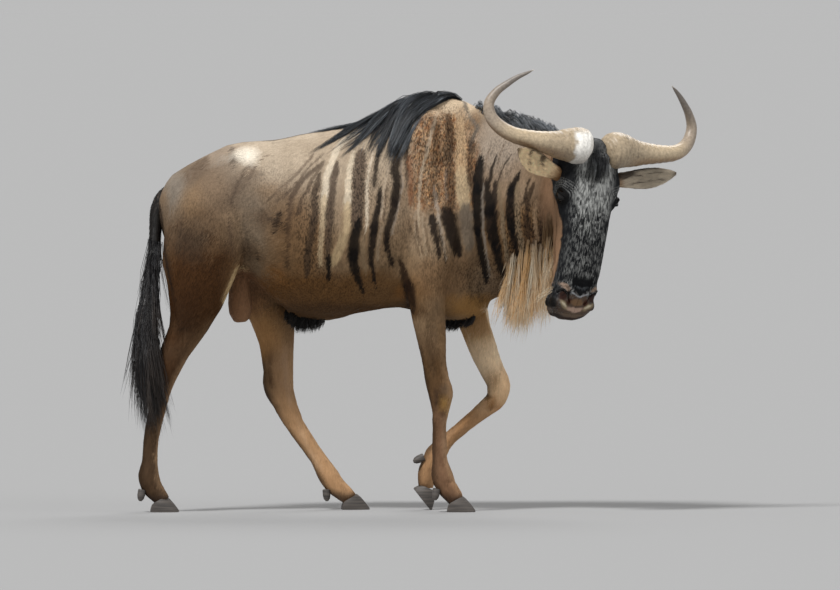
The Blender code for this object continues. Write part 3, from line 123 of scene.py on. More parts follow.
# ---- stations
# Trunk: x, height of the widest level, top, bottom, half width, squareness, taper (wider above if positive)
TRUNK = table("mmmmmn",
    "-806 960 1010 900 40 2 0",
    "-785 955 1060 840 85 2 0",
    "-740 955 1096 800 130 2.1 -.05",
    "-670 965 1136 780 165 2.2 -.08",
    "-590 975 1174 770 186 2.2 -.1",
    "-520 965 1187 742 194 2.2 -.12",
    "-440 930 1190 668 204 2.2 -.14",
    "-340 905 1212 618 224 2.2 -.16",
    "-240 905 1226 619 232 2.2 -.2",
    "-140 910 1250 636 226 2.2 -.26",
    "-50 920 1294 648 208 2.2 -.34",
    "30 925 1322 632 190 2.1 -.42",
    "100 930 1318 604 174 2.1 -.42",
    "170 940 1300 612 158 2.1 -.38",
    "230 955 1270 670 120 2 -.3",
    "270 965 1200 760 60 2 -.2")
# Neck: x, y, height of the widest level, top, bottom, half width, squareness, taper
NECK = table("mmmmmmn",
    "80 0 950 1300 680 130 2 -.35",
    "180 -4 960 1296 655 142 2.1 -.34",
    "260 -20 970 1272 676 132 2.1 -.3",
    "340 -52 985 1250 716 121 2.1 -.26",
    "410 -92 1000 1228 772 112 2.1 -.2",
    "470 -134 1020 1206 838 104 2.1 -.14",
    "520 -172 1040 1184 902 94 2 -.08",
    "550 -198 1060 1150 960 70 2 0")
# Head, in its own frame: f, level of the widest line u, top, bottom, half width, squareness, taper
SKULL = table("mmmmmn",
    "-32 -85 -55 -120 40 2 0",
    "-20 -80 -20 -165 76 2.1 0",
    "5 -72 6 -188 95 2.3 .02",
    "50 -68 16 -192 102 2.5 .04",
    "100 -62 18 -190 103 2.6 .08",
    "150 -58 19 -185 98 2.7 .12",
    "200 -55 19 -170 89 2.8 .16",
    "250 -52 19 -155 82 2.8 .18",
    "320 -50 16 -136 76.5 2.8 .18",
    "390 -50 10 -122 73.5 2.7 .18",
    "440 -52 2 -114 72 2.6 .14",
    "490 -58 -12 -108 72.5 2.5 .08",
    "526 -66 -34 -104 66 2.4 .02",
    "546 -74 -54 -96 48 2.2 0",
    "555 -80 -68 -91 25 2 0")
JAW = table("mmmmmn",
    "20 -150 -110 -195 55 2 0",
    "90 -155 -100 -212 68 2.2 0",
    "150 -150 -90 -205 64 2.2 0",
    "230 -128 -80 -178 53 2.2 0",
    "330 -112 -70 -150 46 2.2 0",
    "430 -108 -70 -136 44 2.2 0",
    "500 -110 -85 -136 47 2.3 0",
    "532 -112 -98 -131 39 2.2 0",
    "546 -114 -106 -123 18 2 0")
# Horn of the left side, in the head's frame: f, l, u, radius
HORN_LINE = table("m",
    "4 26 0 28",
    "2 38 -2 48",
    "0 64 -6 59.5",
    "0 98 -10 55",
    "2 135 -12 46",
    "0 170 -12 38.5",
    "-2 210 -12 33",
    "-6 250 -14 29",
    "-12 290 -20 26.2",
    "-30 332 -36 24.6",
    "-62 362 -54 23.2",
    "-100 370 -62 21.8",
    "-140 352 -58 19",
    "-172 322 -45 15.5",
    "-198 292 -32 11.5",
    "-214 268 -20 7.5",
    "-226 250 -13 2")

HORN_REACH = {"left": .985, "right": -1.02}  # side and spread, which differs a little between the two
HORN_TAPER = .26  # how much slimmer the horn's upper half gets
SIGNS = {"left": 1, "right": -1}

# Limbs: x, y, z, half width across, reach in front, reach behind
FORE_RIGHT = table("m",
    "62 -130 1000 40 80 90",
    "62 -148 920 50 98 104",
    "52 -150 820 56 88 88",
    "46 -145 720 56 66 70",
    "50 -138 643 51 58.5 60",
    "63 -130 544 42 49 48",
    "70 -124 474 34.5 39.5 39",
    "78.6 -120 419 34 41 38.5",
    "89 -117 377.6 36.5 43 40",
    "90.5 -115 348.8 32 35 34",
    "88.3 -113 297.6 20.5 23.5 24",
    "88.3 -111 211.2 19.5 23 24",
    "88.8 -110 163.2 21.5 25 27",
    "98 -109 111 30 35 39",
    "112 -109 79 29 32 35",
    "129 -109 54 27.5 30 30",
    "143 -109 35 25.5 27 26")
FORE_LEFT = table("m",
    "110 130 1000 40 80 90",
    "125 148 920 50 98 100",
    "148 150 800 55 86 82",
    "172 142 680 53 68 63",
    "202 133 582 46 53 50",
    "230 125 506 40 46 45",
    "256 118 446 35 40 40",
    "274 114 398 36.5 42 36",
    "266 111 358 35 37 31",
    "236 108 328 29 30 28",
    "192 104 291 21 25 25",
    "140 100 246 20 23.5 25",
    "102 97 211 21.5 25 28",
    "78 96 178 30 33 38",
    "57 95 145 28.5 31 32",
    "45 94 114 27 29 30",
    "43 94 68 25 25 25")
HIND_RIGHT = table("m",
    "-610 -85 1080 60 100 110",
    "-625 -112 1000 82 135 140",
    "-655 -125 890 86 140 134",
    "-679 -130 784 80 124 116",
    "-695 -130 682 68 97 90",
    "-713 -127 614 56 75 68",
    "-733 -124 566 47 61 54",
    "-760 -120 505 40 46 50",
    "-782 -118 452 38.5 40 44",
    "-797 -117 405 33.5 34 35",
    "-814.4 -116 323 24 26.5 29",
    "-828.5 -115 262 22.5 25.5 28",
    "-838 -114 160 23 26.5 28.5",
    "-840 -114 107 31 34 37",
    "-829 -114 77 29.5 32 35",
    "-809 -114 52 27.5 29 29",
    "-795 -114 33 25.5 26 26")
HIND_LEFT = table("m",
    "-600 85 1080 60 100 110",
    "-580 112 1000 82 135 145",
    "-548 125 890 86 140 140",
    "-502 130 780 78 122 122",
    "-468 130 690 67 94 100",
    "-449 128 624 57 77 80",
    "-434 124 528 46 56 60",
    "-431 120 445 40 49 50",
    "-430 118 395 39.5 50 50",
    "-414.4 117 352 35 41 42",
    "-376 117 272.6 25.5 31 32",
    "-337.6 117 214.4 23 27.5 28.5",
    "-300 118 160 23.5 27.5 29",
    "-266 119 105 31 33 36",
    "-245 119 76 29.5 31 34",
    "-216 120 50 27.5 28 29",
    "-197 120 32 25.5 26 26")
LIMBS = {
    "foreleg_right": FORE_RIGHT,
    "foreleg_left": FORE_LEFT,
    "hindleg_right": HIND_RIGHT,
    "hindleg_left": HIND_LEFT,
}
# Feet: x and y of the toes, where they point and how far they tip down in degrees; one is on its tip
FEET = {
    "foreleg_right": (.2, -.109, -4, 0),
    "foreleg_left": (.058, .094, 3, 52),
    "hindleg_right": (-.747, -.114, -5, 0),
    "hindleg_left": (-.139, .12, 5, 0),
}
LIMB_SQUARENESS = 2.15
FOOT_SPREAD = 4  # degrees that each claw points away from its neighbour

# Tail: x, y, z, half width fore and aft, half thickness sideways
TAIL_DOCK = table("m",
    "-760 0 1016 34 34",
    "-792 -4 1000 29 29",
    "-814 -12 966 22.5 22.5",
    "-822 -30 900 18 18",
    "-826 -56 820 16.5 16.5",
    "-838 -90 730 16 16",
    "-850 -130 640 23 19",
    "-852 -160 560 30 19",
    "-850 -172 490 26 15",
    "-848 -178 440 8 6")
SCROTUM = table("m",
    "-556 0 800 30 34",
    "-556 0 742 34 40",
    "-554 0 700 38 44",
    "-552 0 655 42 45",
    "-551 0 620 36 38",
    "-551 0 600 20 22")

# Rounded muscle and bone forms on the body: centre, radii, turn about Y in degrees; mirrored ones have y > 0
BODY_FORMS = table("vvn",
    "-670,70,1020 110,70,80 -28 1",  # rump muscle
    "-560,85,1100 70,60,50 -10 1",  # point of the hip
    "30,60,1120 130,75,170 14 1",  # blade of the shoulder
    "130,95,850 100,75,120 0 1",  # point of the shoulder
    "10,110,900 150,90,140 0 1",  # upper arm muscle
    "130,0,660 120,80,58 0 0",  # brisket
    "-300,0,632 110,30,26 0 0")  # sheath fold of the belly


# Rows of locks. Each runs from start to end along x (down the face for the forelock), aside from the crest.
# Lift is the height over the skin, hug how far the tips settle on it. The mane rises over the solids' locks.
LOCK_SPANS = 4
LOCK_BEND = 1.6  # how soon a lock takes its lie
ROOT_SINK = .014
NECK_MANE = [
    dict(start=.21, end=.45, count=5, aside=.055, length=.19, short=.7, heading=(.1, .8, 0),
         lie=(.1, .35, -.9), lift=.036, hug=.8),
    dict(start=.205, end=.455, count=6, aside=.016, length=.18, short=.7, heading=(0, .6, .5),
         lie=(.1, .75, -.6), lift=.048, hug=.6),
    dict(start=.215, end=.445, count=5, aside=-.02, length=.11, short=.7, heading=(.3, -.5, .6),
         lie=(.5, -.55, -.5), lift=.044, hug=.7),
]
CREST = [dict(NECK_MANE[1], aside=-.004, length=.09, lift=.024)]
SHEATH_TUFT = [dict(start=-.4, end=-.285, count=5, aside=0, length=.055, short=.35, scatter=.022,
    heading=(-.45, 0, -.9), lie=(-.3, 0, -.9), lift=.004)]
BRISKET_TUFT = [dict(start=.108, end=.2, count=8, aside=0, length=.042, short=.8, scatter=.03,
    heading=(-.2, 0, -1), lie=(-.5, 0, -.8), lift=.004)]
FORELOCK = [
    dict(start=.002, end=.06, count=3, aside=-.012, length=.1, short=.8, heading=(.2, -.6, -.2),
        lie=(-.1, -.05, -1), lift=.008, hug=.8),
    dict(start=.006, end=.045, count=2, aside=.014, length=.09, short=.8, heading=(.4, -.6, -.2),
        lie=(-.08, 0, -1), lift=.01, hug=.8),
]
# A row of the tassel is a tier round the dock: start and end are half turns, aside the place down the dock
TASSEL_TIERS = [
    dict(start=0, end=2, count=5, aside=.76, length=.32, short=.9, heading=(-.02, -.16, -1),
        lie=(.1, -.02, -1), lift=.002, scatter=.1),
    dict(start=.2, end=2.2, count=4, aside=.6, length=.33, short=.9, heading=(-.08, -.26, -1),
        lie=(.02, -.08, -1), lift=.003, scatter=.1),
    dict(start=.1, end=2.1, count=3, aside=.46, length=.26, short=.9, heading=(-.1, -.38, -1),
        lie=(-.04, -.3, -1), lift=.002, scatter=.1),
]


def refine(rows, steps, place):
    """Rows on a smooth curve through the stations; the first `place` columns say how far apart they are."""
    rows = np.array(rows, float)
    spans = np.linalg.norm(np.diff(rows[:, :place], axis=0), axis=1)
    knots = np.concatenate(([0.0], np.cumsum(spans)))
    slopes = np.gradient(rows, knots, axis=0)
    fine = []
    for index, span in enumerate(spans):
        for step in range(steps):
            t = step / steps
            start = (1 + 2 * t) * (1 - t) ** 2 * rows[index] + t * (1 - t) ** 2 * span * slopes[index]
            end = t * t * (3 - 2 * t) * rows[index + 1] - t * t * (1 - t) * span * slopes[index + 1]
            fine.append(start + end)
    fine.append(rows[-1])
    return fine


def ring_edges(ring):
    """The edges of a ring of vertices, each once and in order."""
    return list(dict.fromkeys(edge for vert in ring for edge in vert.link_edges))


def add_ring(bm, sides, centre, across, up, half_width, above, below, power=2.0, taper=0.0):
    """One cross-section: a circle squared off by power, narrowed above (taper < 0) or below (taper > 0)."""
    ring = bmesh.ops.create_circle(bm, cap_ends=False, segments=sides, radius=1.0)["verts"]
    for vert in ring:
        side = math.copysign(abs(vert.co.x) ** (2 / power), vert.co.x)
        rise = math.copysign(abs(vert.co.y) ** (2 / power), vert.co.y)
        pinch = 1 + taper * max(rise, 0.0) if taper < 0 else 1 - taper * max(-rise, 0.0)
        reach = above if rise > 0 else below
        vert.co = centre + across * (side * pinch * half_width) + up * (rise * reach)
    return ring_edges(ring)


def neighbours(rows):
    """The rows before and after each row, where the ends are their own neighbours."""
    return zip([rows[0], *rows[:-1]], [*rows[1:], rows[-1]])


def join_rings(bm, rings):
    for first, second in zip(rings, rings[1:]):
        bmesh.ops.bridge_loops(bm, edges=first + second)
    bmesh.ops.edgeloop_fill(bm, edges=rings[0])
    bmesh.ops.edgeloop_fill(bm, edges=rings[-1])


def merge_into(bm, part):
    """Adds the finished closed shape `part` to `bm`, with its faces pointing out."""
    bmesh.ops.recalc_face_normals(part, faces=part.faces)
    mesh = bpy.data.meshes.new("piece")
    part.to_mesh(mesh)
    part.free()
    bm.from_mesh(mesh)
    bpy.data.meshes.remove(mesh)


def loft(bm, rings):
    """Adds a closed shape through cross-sections, each given as add_ring takes it."""
    part = bmesh.new()
    join_rings(part, [add_ring(part, *ring) for ring in rings])
    merge_into(bm, part)


def make_object(name, bm):
    """An object whose place is in its mesh, with its faces pointing out."""
    bmesh.ops.recalc_face_normals(bm, faces=bm.faces)
    mesh = bpy.data.meshes.new(name)
    bm.to_mesh(mesh)
    bm.free()
    made = bpy.data.objects.new(name, mesh)
    bpy.context.collection.objects.link(made)
    return made


def apply_modifiers(item):
    graph = bpy.context.evaluated_depsgraph_get()
    mesh = bpy.data.meshes.new_from_object(item.evaluated_get(graph), depsgraph=graph)
    old = item.data
    item.modifiers.clear()
    item.data = mesh
    bpy.data.meshes.remove(old)


def discard(item):
    mesh = item.data
    bpy.data.objects.remove(item, do_unlink=True)
    bpy.data.meshes.remove(mesh)


def head_axes():
    """Unit vectors F (to the nose), L (to the head's left) and U (out of the forehead)."""
    ahead = Vector((math.cos(HEAD_TURN), -math.sin(HEAD_TURN), 0.0))
    level_nose = ahead * math.cos(HEAD_DROP) - Vector((0, 0, math.sin(HEAD_DROP)))
    brow = ahead * math.sin(HEAD_DROP) + Vector((0, 0, math.cos(HEAD_DROP)))
    left = brow.cross(level_nose)
    nose = level_nose * math.cos(HEAD_TILT) - left * math.sin(HEAD_TILT)
    left = left * math.cos(HEAD_TILT) + level_nose * math.sin(HEAD_TILT)
    return nose.normalized(), left.normalized(), brow.normalized()


NOSE, LEFT, BROW = head_axes()
ACROSS, UP = Vector((0, 1, 0)), Vector((0, 0, 1))


def on_head(f, l, u):
    return POLL + NOSE * f + LEFT * l + BROW * u


def head_matrix(centre, turn=0.0):
    """A frame at a point of the head, with X to the nose, Y to the left and Z out of the forehead."""
    axes = Matrix((NOSE, LEFT, BROW)).transposed().to_4x4()
    return Matrix.Translation(on_head(*centre)) @ axes @ Matrix.Rotation(math.radians(turn), 4, "Z")


def eye_place(side):
    f, l, u = EYE_AT
    return f, l * SIGNS[side], u


def loft_trunk(bm):
    loft(bm, [(40, Vector((x, 0, level)), ACROSS, UP, wide, top - level, level - bottom, power, taper)
        for x, level, top, bottom, wide, power, taper in refine(TRUNK, 3, 1)])


def loft_neck(bm):
    rows = refine(NECK, 3, 2)
    rings = []
    for (x, y, level, top, bottom, wide, power, taper), (before, after) in zip(rows, neighbours(rows)):
        along = Vector((after[0] - before[0], after[1] - before[1], 0)).normalized()
        across = Vector((-along.y, along.x, 0))
        rings.append((36, Vector((x, y, level)), across, UP, wide, top - level, level - bottom,
            power, taper))
    loft(bm, rings)


def loft_head(bm, stations):
    loft(bm, [(36, on_head(f, 0, level), LEFT, BROW, wide, top - level, level - bottom, power, taper)
        for f, level, top, bottom, wide, power, taper in refine(stations, 3, 1)])


def loft_limb(bm, stations, sides=24, steps=3):
    """A limb hangs in a fore-and-aft plane; each section lies square to its line."""
    rows = refine(stations, steps, 3)
    rings = []
    for (x, y, z, wide, front, back), (before, after) in zip(rows, neighbours(rows)):
        down = Vector((after[0] - before[0], 0, after[2] - before[2])).normalized()
        rings.append((sides, Vector((x, y, z)), ACROSS, down.cross(ACROSS), wide, front, back,
            LIMB_SQUARENESS))
    loft(bm, rings)


def horn_shape(side, sides, steps):
    """One horn, round in section, from its boss on the poll to its tip."""
    bm = bmesh.new()
    rows = refine(HORN_LINE, steps, 3)
    points = [on_head(f, l * HORN_REACH[side], u) for f, l, u, radius in rows]
    rings = []
    up = BROW
    for point, row, (before, after) in zip(points, rows, neighbours(points)):
        along = (after - before).normalized()
        across = along.cross(up).normalized()
        up = across.cross(along).normalized()
        rings.append(add_ring(bm, sides, point, across, up, *[row[3]] * 3))
    join_rings(bm, rings)
    return bm


# Ear sections from root to tip: share of the length, half width, depth of the cup, how far it is open, bow
EAR_SECTIONS = table("nmmnm",
    "0 22 22 0 0",
    ".14 23 22 .1 3",
    ".28 27 22 .6 6",
    ".44 33 21 1 8",
    ".6 34.5 18 1 8",
    ".76 29 13 1 6",
    ".9 17 7 1 3",
    "1 4 2 1 0")


def ear_frame(side):
    """Root point, axis, width direction and the direction that the cup faces."""
    sign = SIGNS[side]
    root, tip = (on_head(f, l * sign, u) for f, l, u in (EAR_ROOT, EAR_TIP[side]))
    axis = tip - root
    faces = (BROW * .8 + NOSE * .42 - LEFT * sign * .45).normalized()
    faces = (faces - axis * faces.dot(axis) / axis.length_squared).normalized()
    wide = faces.cross(axis.normalized())
    return root, axis, wide * math.copysign(1.0, wide.dot(NOSE)), faces


def ear_shape(side, sides, steps):
    """A leaf-shaped cup on a short stalk: each section is a ring whose front half folds in as it opens."""
    root, axis, wide, faces = ear_frame(side)
    bm = bmesh.new()
    rings = []
    for share, half, depth, opened, bow in refine(EAR_SECTIONS, steps, 1):
        centre = root + axis * share + wide * bow
        ring = bmesh.ops.create_circle(bm, cap_ends=False, segments=sides, radius=1.0)["verts"]
        for vert in ring:
            front = vert.co.y * depth
            if vert.co.y > 0:
                front = vert.co.y * (depth * (1 - opened) - max(depth - EAR_WALL, 0.0) * opened)
            rim = EAR_WALL * .4 * vert.co.y * opened
            vert.co = centre + wide * (vert.co.x * half) + faces * (front + rim)
        rings.append(ring_edges(ring))
    join_rings(bm, rings)
    return bm


def loft_hanging(bm, stations, sides=16, steps=3):
    """A hanging round form such as the tail: x, y, z, half size fore and aft, half size sideways."""
    loft_limb(bm, [(x, y, z, side, fore, fore) for x, y, z, fore, side in stations], sides, steps)


def add_form(bm, matrix, radii, rings=14, sides=20):
    """A rounded form: a sphere stretched to its three radii in the given frame."""
    part = bmesh.new()
    scale = Matrix.Diagonal((*radii, 1))
    bmesh.ops.create_uvsphere(part, u_segments=sides, v_segments=rings, radius=1.0, matrix=matrix @ scale)
    merge_into(bm, part)


def add_body_forms(bm):
    for centre, radii, turn, paired in BODY_FORMS:
        for side in ((1, -1) if paired else (1,)):
            place = Matrix.Translation((centre[0], centre[1] * side, centre[2]))
            add_form(bm, place @ Matrix.Rotation(math.radians(turn), 4, "Y"), radii)


def add_head_forms(bm):
    f, l, u = EYE_AT
    for side in (1, -1):
        add_form(bm, head_matrix((f - .004, (l - .01) * side, u - .006)), (.04, .026, .036))  # orbit
        add_form(bm, head_matrix((f - .05, (l - .014) * side, u + .002)), (.05, .028, .034))  # brow
        add_form(bm, head_matrix((f + .08, (l - .026) * side, u - .03), -10 * side),
                 (.09, .016, .02))  # cheek bone
        add_form(bm, head_matrix((.105, .058 * side, -.135)), (.09, .034, .066))  # jaw muscle
        add_form(bm, head_matrix((.496, .043 * side, -.05)), (.036, .032, .03))  # nostril pad
        add_form(bm, head_matrix((.5, .04 * side, -.092)), (.05, .03, .022))  # upper lip
    add_form(bm, head_matrix((.512, 0.0, -.121)), (.036, .042, .014))  # lower lip
    add_form(bm, head_matrix((0.0, 0.0, -.025)), (.03, .075, .036))  # poll under the horns


def flesh_shape():
    """All the flesh as overlapping closed forms in one mesh."""
    bm = bmesh.new()
    loft_trunk(bm)
    loft_neck(bm)
    loft_head(bm, SKULL)
    loft_head(bm, JAW)
    for stations in LIMBS.values():
        loft_limb(bm, stations)
    add_body_forms(bm)
    add_head_forms(bm)
    return bm


# Claw sections from the sole up: height, toe end, heel end, half width
CLAW_SECTIONS = table("m",
    "0 0 -88 16.5",
    "6 -1 -89.5 17",
    "24 -14 -88 16.8",
    "42 -30 -84 15.8",
    "50 -40 -80 14")
HEEL_LOW = .55  # height of the heel as a share of the toe's


def claw_shape(limb, outer, sides):
    """One claw of a cloven hoof, its toe tip at the foot's place on the floor."""
    x, y, turn, tip = FEET[limb]
    lateral = (1 if "left" in limb else -1) * (1 if outer else -1)
    bm = bmesh.new()
    rings = []
    for height, toe, heel, half in CLAW_SECTIONS:
        ring = bmesh.ops.create_circle(bm, cap_ends=False, segments=sides, radius=1.0)["verts"]
        for vert in ring:
            ahead = (1 + vert.co.x) / 2
            narrow = 1 - .45 * max(vert.co.x, 0) ** 2 - .12 * max(-vert.co.x, 0) ** 2
            inner = .82 if vert.co.y * lateral < 0 else 1.0
            level = height * (HEEL_LOW + (1 - HEEL_LOW) * ahead)
            bend = -lateral * TOE_IN * ahead ** 3
            vert.co = Vector((heel + (toe - heel) * ahead, vert.co.y * half * narrow * inner + bend, level))
        rings.append(ring_edges(ring))
    join_rings(bm, rings)
    heel = Matrix.Translation((CLAW_HEEL, 0, 0))
    splay = heel.inverted() @ Matrix.Rotation(math.radians(FOOT_SPREAD * lateral), 4, "Z") @ heel
    side_step = Matrix.Translation((0, lateral * (CLAW_HALF_WIDTH + CLEFT / 2), 0))
    tipped = Matrix.Rotation(math.radians(tip), 4, "Y")
    turned = Matrix.Rotation(math.radians(turn), 4, "Z")
    sink = Matrix.Translation((0, 0, -.002 if tip else 0.0))
    place = Matrix.Translation((x, y, 0)) @ sink @ turned @ tipped @ side_step @ splay
    bmesh.ops.transform(bm, matrix=place, verts=bm.verts)
    if tip:
        faces = bm.faces[:] + bm.edges[:] + bm.verts[:]
        cut = bmesh.ops.bisect_plane(bm, geom=faces, plane_co=(0, 0, 0), plane_no=(0, 0, 1),
            clear_inner=True)
        rim = [item for item in cut["geom_cut"] if isinstance(item, bmesh.types.BMEdge)]
        bmesh.ops.edgeloop_fill(bm, edges=rim)
    return bm


DEWCLAW_SECTIONS = [(0.0, .012), (.018, .0122), (.029, .0098), (.036, .0045)]


def dewclaw_shape(limb, outer, sides):
    """A blunt horny stub behind the pastern, beside its neighbour."""
    lateral = (1 if "left" in limb else -1) * (1 if outer else -1)
    above, (x, y, z, _, _, back), below = LIMBS[limb][-4:-1]
    down = Vector((below[0] - above[0], 0, below[2] - above[2])).normalized()
    behind = -down.cross(ACROSS)
    start = Vector((x, y + lateral * .0165, z)) + behind * back * .95 - down * .012
    along = (behind * .62 + down * .8 + Vector((0, lateral * .18, 0))).normalized()
    across = along.cross(ACROSS).normalized()
    bm = bmesh.new()
    join_rings(bm, [add_ring(bm, sides, start + along * reach, across.cross(along), across, *[radius] * 3)
        for reach, radius in DEWCLAW_SECTIONS])
    return bm


def bent_bar(bm, points, across, radii, sides=5):
    """A tapered bar through `points`; radii are (half height, half depth) for each point."""
    rings = []
    for point, side, (tall, deep), (before, after) in zip(points, across, radii, neighbours(points)):
        along = (after - before).normalized()
        up = along.cross(side).normalized()
        rings.append((sides, point, up.cross(along), up, deep, tall, tall))
    loft(bm, rings)


def eye_frame(side):
    """Centre of the eye, the way it looks, the way to the nose in its plane, and up in its plane."""
    a, b, c = EYE_LOOKS
    looks = (NOSE * a + LEFT * (b * SIGNS[side]) + BROW * c).normalized()
    ahead = BROW * .92 + NOSE * .38
    ahead = (ahead - looks * ahead.dot(looks)).normalized()
    rise = looks.cross(ahead)
    return on_head(*eye_place(side)), looks, ahead, rise * math.copysign(1.0, -rise.dot(NOSE))


def ball_in_socket(side, radius):
    bm = bmesh.new()
    add_form(bm, head_matrix(eye_place(side)), (radius,) * 3, 24, 32)
    return bm


def lid_bars(side):
    """Upper and lower lids: two tapered bars that meet at the corners of the eye."""
    centre, looks, ahead, rise = eye_frame(side)
    bars = []
    for lift, thick in ((.01, .0062), (-.0095, .0048)):
        bm = bmesh.new()
        points, across, radii = [], [], []
        for step in range(8):
            angle = math.pi * step / 7
            spot = ahead * (.0205 * math.cos(angle)) + rise * (lift * math.sin(angle))
            out = math.sqrt(max((EYE_RADIUS + .001) ** 2 - spot.length_squared, 0.0))
            point = centre + spot + looks * out
            points.append(point)
            across.append((point - centre).normalized())
            radii.append((thick * (.55 + .45 * math.sin(angle)), thick * (.5 + .3 * math.sin(angle))))
        bent_bar(bm, points, across, radii)
        bars.append(make_object("lid", bm))
    return bars


def nostril_bar(side, back, sink, sizes, sides):
    """The comma-shaped hollow that arches over the flap of a nostril, or the roll of skin round its edge."""
    bm = bmesh.new()
    points = [on_head(f - back, l * SIGNS[side], u - sink) for f, l, u in NOSTRIL[:len(sizes)]]
    bent_bar(bm, points, [LEFT * SIGNS[side] * .45 + BROW] * len(points), sizes, sides)
    return make_object("nostril", bm)


# Left nostril from its outer end round to the lip: f, l, u; half heights and depths of it and its rim
NOSTRIL = spots("472,69,-34 460,64,-21 461,53,-13 470,41,-11 484,35,-14 498,27,-20")
NOSTRIL_SIZES = spots("2,6 3.5,10 4.5,13 5.5,14 4,11 2,6")
RIM_SIZES = spots("3,4 5,6 6,7 5,6 3,3")
WRINKLE_OVER, WRINKLE_UNDER = .0072, .0065  # from one wrinkle to the next over and under the eye
NOSTRIL_ROLL = .0075  # how far the rim lies up the nose from the opening
MOUTH_LEVEL = -.1  # height of the corner of the mouth
MOUTH_RISE = .06  # how much higher the lips part in front
MOUTH_CORNER = .43
MOUTH_REACH = .106  # from the corners to the front of the lips


def mouth_cutter():
    """A narrow slot round the muzzle that parts the lips."""
    bm = bmesh.new()
    points, across, radii = [], [], []
    for step in range(15):
        angle = math.radians(-90 + 180 * step / 14)
        ahead = max(math.cos(angle), 0.0) ** .7
        point = on_head(MOUTH_CORNER + MOUTH_REACH * ahead, .067 * math.sin(angle),
            MOUTH_LEVEL + MOUTH_RISE * ahead)
        points.append(point)
        across.append((point - on_head(MOUTH_CORNER, 0, MOUTH_LEVEL)).normalized())
        radii.append((.0016, .012))
    bent_bar(bm, points, across, radii, 4)
    return bm


def remesh(item, voxel):
    shell = item.modifiers.new("Remesh", "REMESH")
    shell.mode = "VOXEL"
    shell.voxel_size = voxel
    apply_modifiers(item)


def surface(item):
    bm = bmesh.new()
    bm.from_mesh(item.data)
    tree = BVHTree.FromBMesh(bm)
    bm.free()
    return tree


def lock_path(tree, root, out, lock):
    """Points and flat-side directions of one lock, which leaves its sunk root and bends over to its lie."""
    heading, lie = lock["heading"].normalized(), lock["lie"].normalized()
    place = root + out * lock["lift"] * .4
    points, sides = [root - out * ROOT_SINK - heading * ROOT_SINK * .3, place], [out] * 2
    span = lock["length"] / LOCK_SPANS
    for step in range(1, LOCK_SPANS + 1):
        share = step / LOCK_SPANS
        bend = min(share * LOCK_BEND, 1.0)
        way = (heading * (1 - bend) + lie * bend).normalized()
        place = place + way * span
        near, out = tree.find_nearest(place)[:2]
        height = (place - near).dot(out)
        low = lock["lift"] * (1 - .6 * share)
        if height < low:
            place = near + out * low
        elif lock["hug"]:
            place = place - out * (height - low) * lock["hug"] * share
        points.append(place)
        sides.append(out if lock["hug"] else sides[0])
    return points, sides


def neck_line(x):
    """Sideways place of the neck's middle at x."""
    return float(np.interp(x, *np.array(NECK)[:, :2].T))


def from_above(tree, x, aside):
    return tree.ray_cast(Vector((x, neck_line(x) + aside, 2.0)), -UP)[:2]


def from_below(tree, x, aside):
    return tree.ray_cast(Vector((x, neck_line(x) + aside, 0.0)), UP)[:2]


def on_dock(tree, turn, share):
    """A root on the dock: a turn round it in half circles, at a share of its length from its base."""
    dock = np.array(TAIL_DOCK)
    at = share * (len(dock) - 1)
    x, y, z = (float(np.interp(at, range(len(dock)), dock[:, column])) for column in range(3))
    way = Vector((math.sin(math.pi * turn), math.cos(math.pi * turn), 0))
    return tree.ray_cast(Vector((x, y, z)) + way * .2, -way)[:2]


def on_face(tree, f, aside):
    return tree.ray_cast(on_head(f, aside, .3), -BROW)[:2]


# ---- values that a user would change
class HideValues(bpy.types.PropertyGroup):
    """Fineness and colours of the skin and the short coat that share its markings."""

    voxel: FloatProperty(name="Voxel", description="Grain of the first skin mesh", default=.0036,
        unit="LENGTH")
    triangles: IntProperty(name="Triangles", description="Triangles of the skin before its face is refined",
        default=118000)
    ground: FloatVectorProperty(name="Ground", description="Main colour of the flanks", subtype="COLOR",
        default=linear("84705a"))
    silver: FloatVectorProperty(name="Silver", description="Colour of the back and the loins",
        subtype="COLOR", default=linear("b9aa94"))
    face: FloatVectorProperty(name="Face", description="Colour of the black face", subtype="COLOR",
        default=linear("17181b"))
    # The glint colour paints the grey hairs of the face and, with them, painted sheen on the black hair.
    glint: FloatVectorProperty(name="Glint", description="Grey hairs in the black face", subtype="COLOR",
        default=linear("d6d7d3"))


class HairValues(bpy.types.PropertyGroup):
    """Counts and sizes of the tufts and the long hair."""

    flank: IntProperty(name="Flank Tufts", description="Tufts on the barrel and the shoulder", default=46000)
    rump: IntProperty(name="Rump Tufts", description="Tufts on the rump and the thighs", default=30000)
    neck: IntProperty(name="Neck Tufts", description="Tufts on the neck", default=44000)
    fore: IntProperty(name="Foreleg Tufts", description="Tufts on the forelegs", default=20000)
    hind: IntProperty(name="Hind Leg Tufts", description="Tufts on the hind legs", default=20000)
    head: IntProperty(name="Head Tufts", description="Tufts on the head", default=46000)
    tuft_length: FloatProperty(name="Tuft Length", description="Length of a tuft on the flank", default=.013,
        unit="LENGTH")
    tuft_width: FloatProperty(name="Tuft Width", description="Half width of a tuft at its root",
        default=.0012, unit="LENGTH")
    strands: IntProperty(name="Strands", description="Strands of hair in each clump", default=9)


class StudioValues(bpy.types.PropertyGroup):
    """The camera and the floor."""

    distance: FloatProperty(name="Distance", description="From the camera to the animal", default=45.0,
        unit="LENGTH")
    height: FloatProperty(name="Height", description="Height of the camera", default=1.62, unit="LENGTH")
    floor: FloatVectorProperty(name="Floor", description="Colour of the floor", subtype="COLOR",
        default=(.322, .322, .322))


# ---- arrays
SEED_COAT = 5
EAR_TUFTS = 4000
DOCK_TUFTS = 6000
SKIN = {}  # the finished skin as arrays: points, normals, corners, unwrap


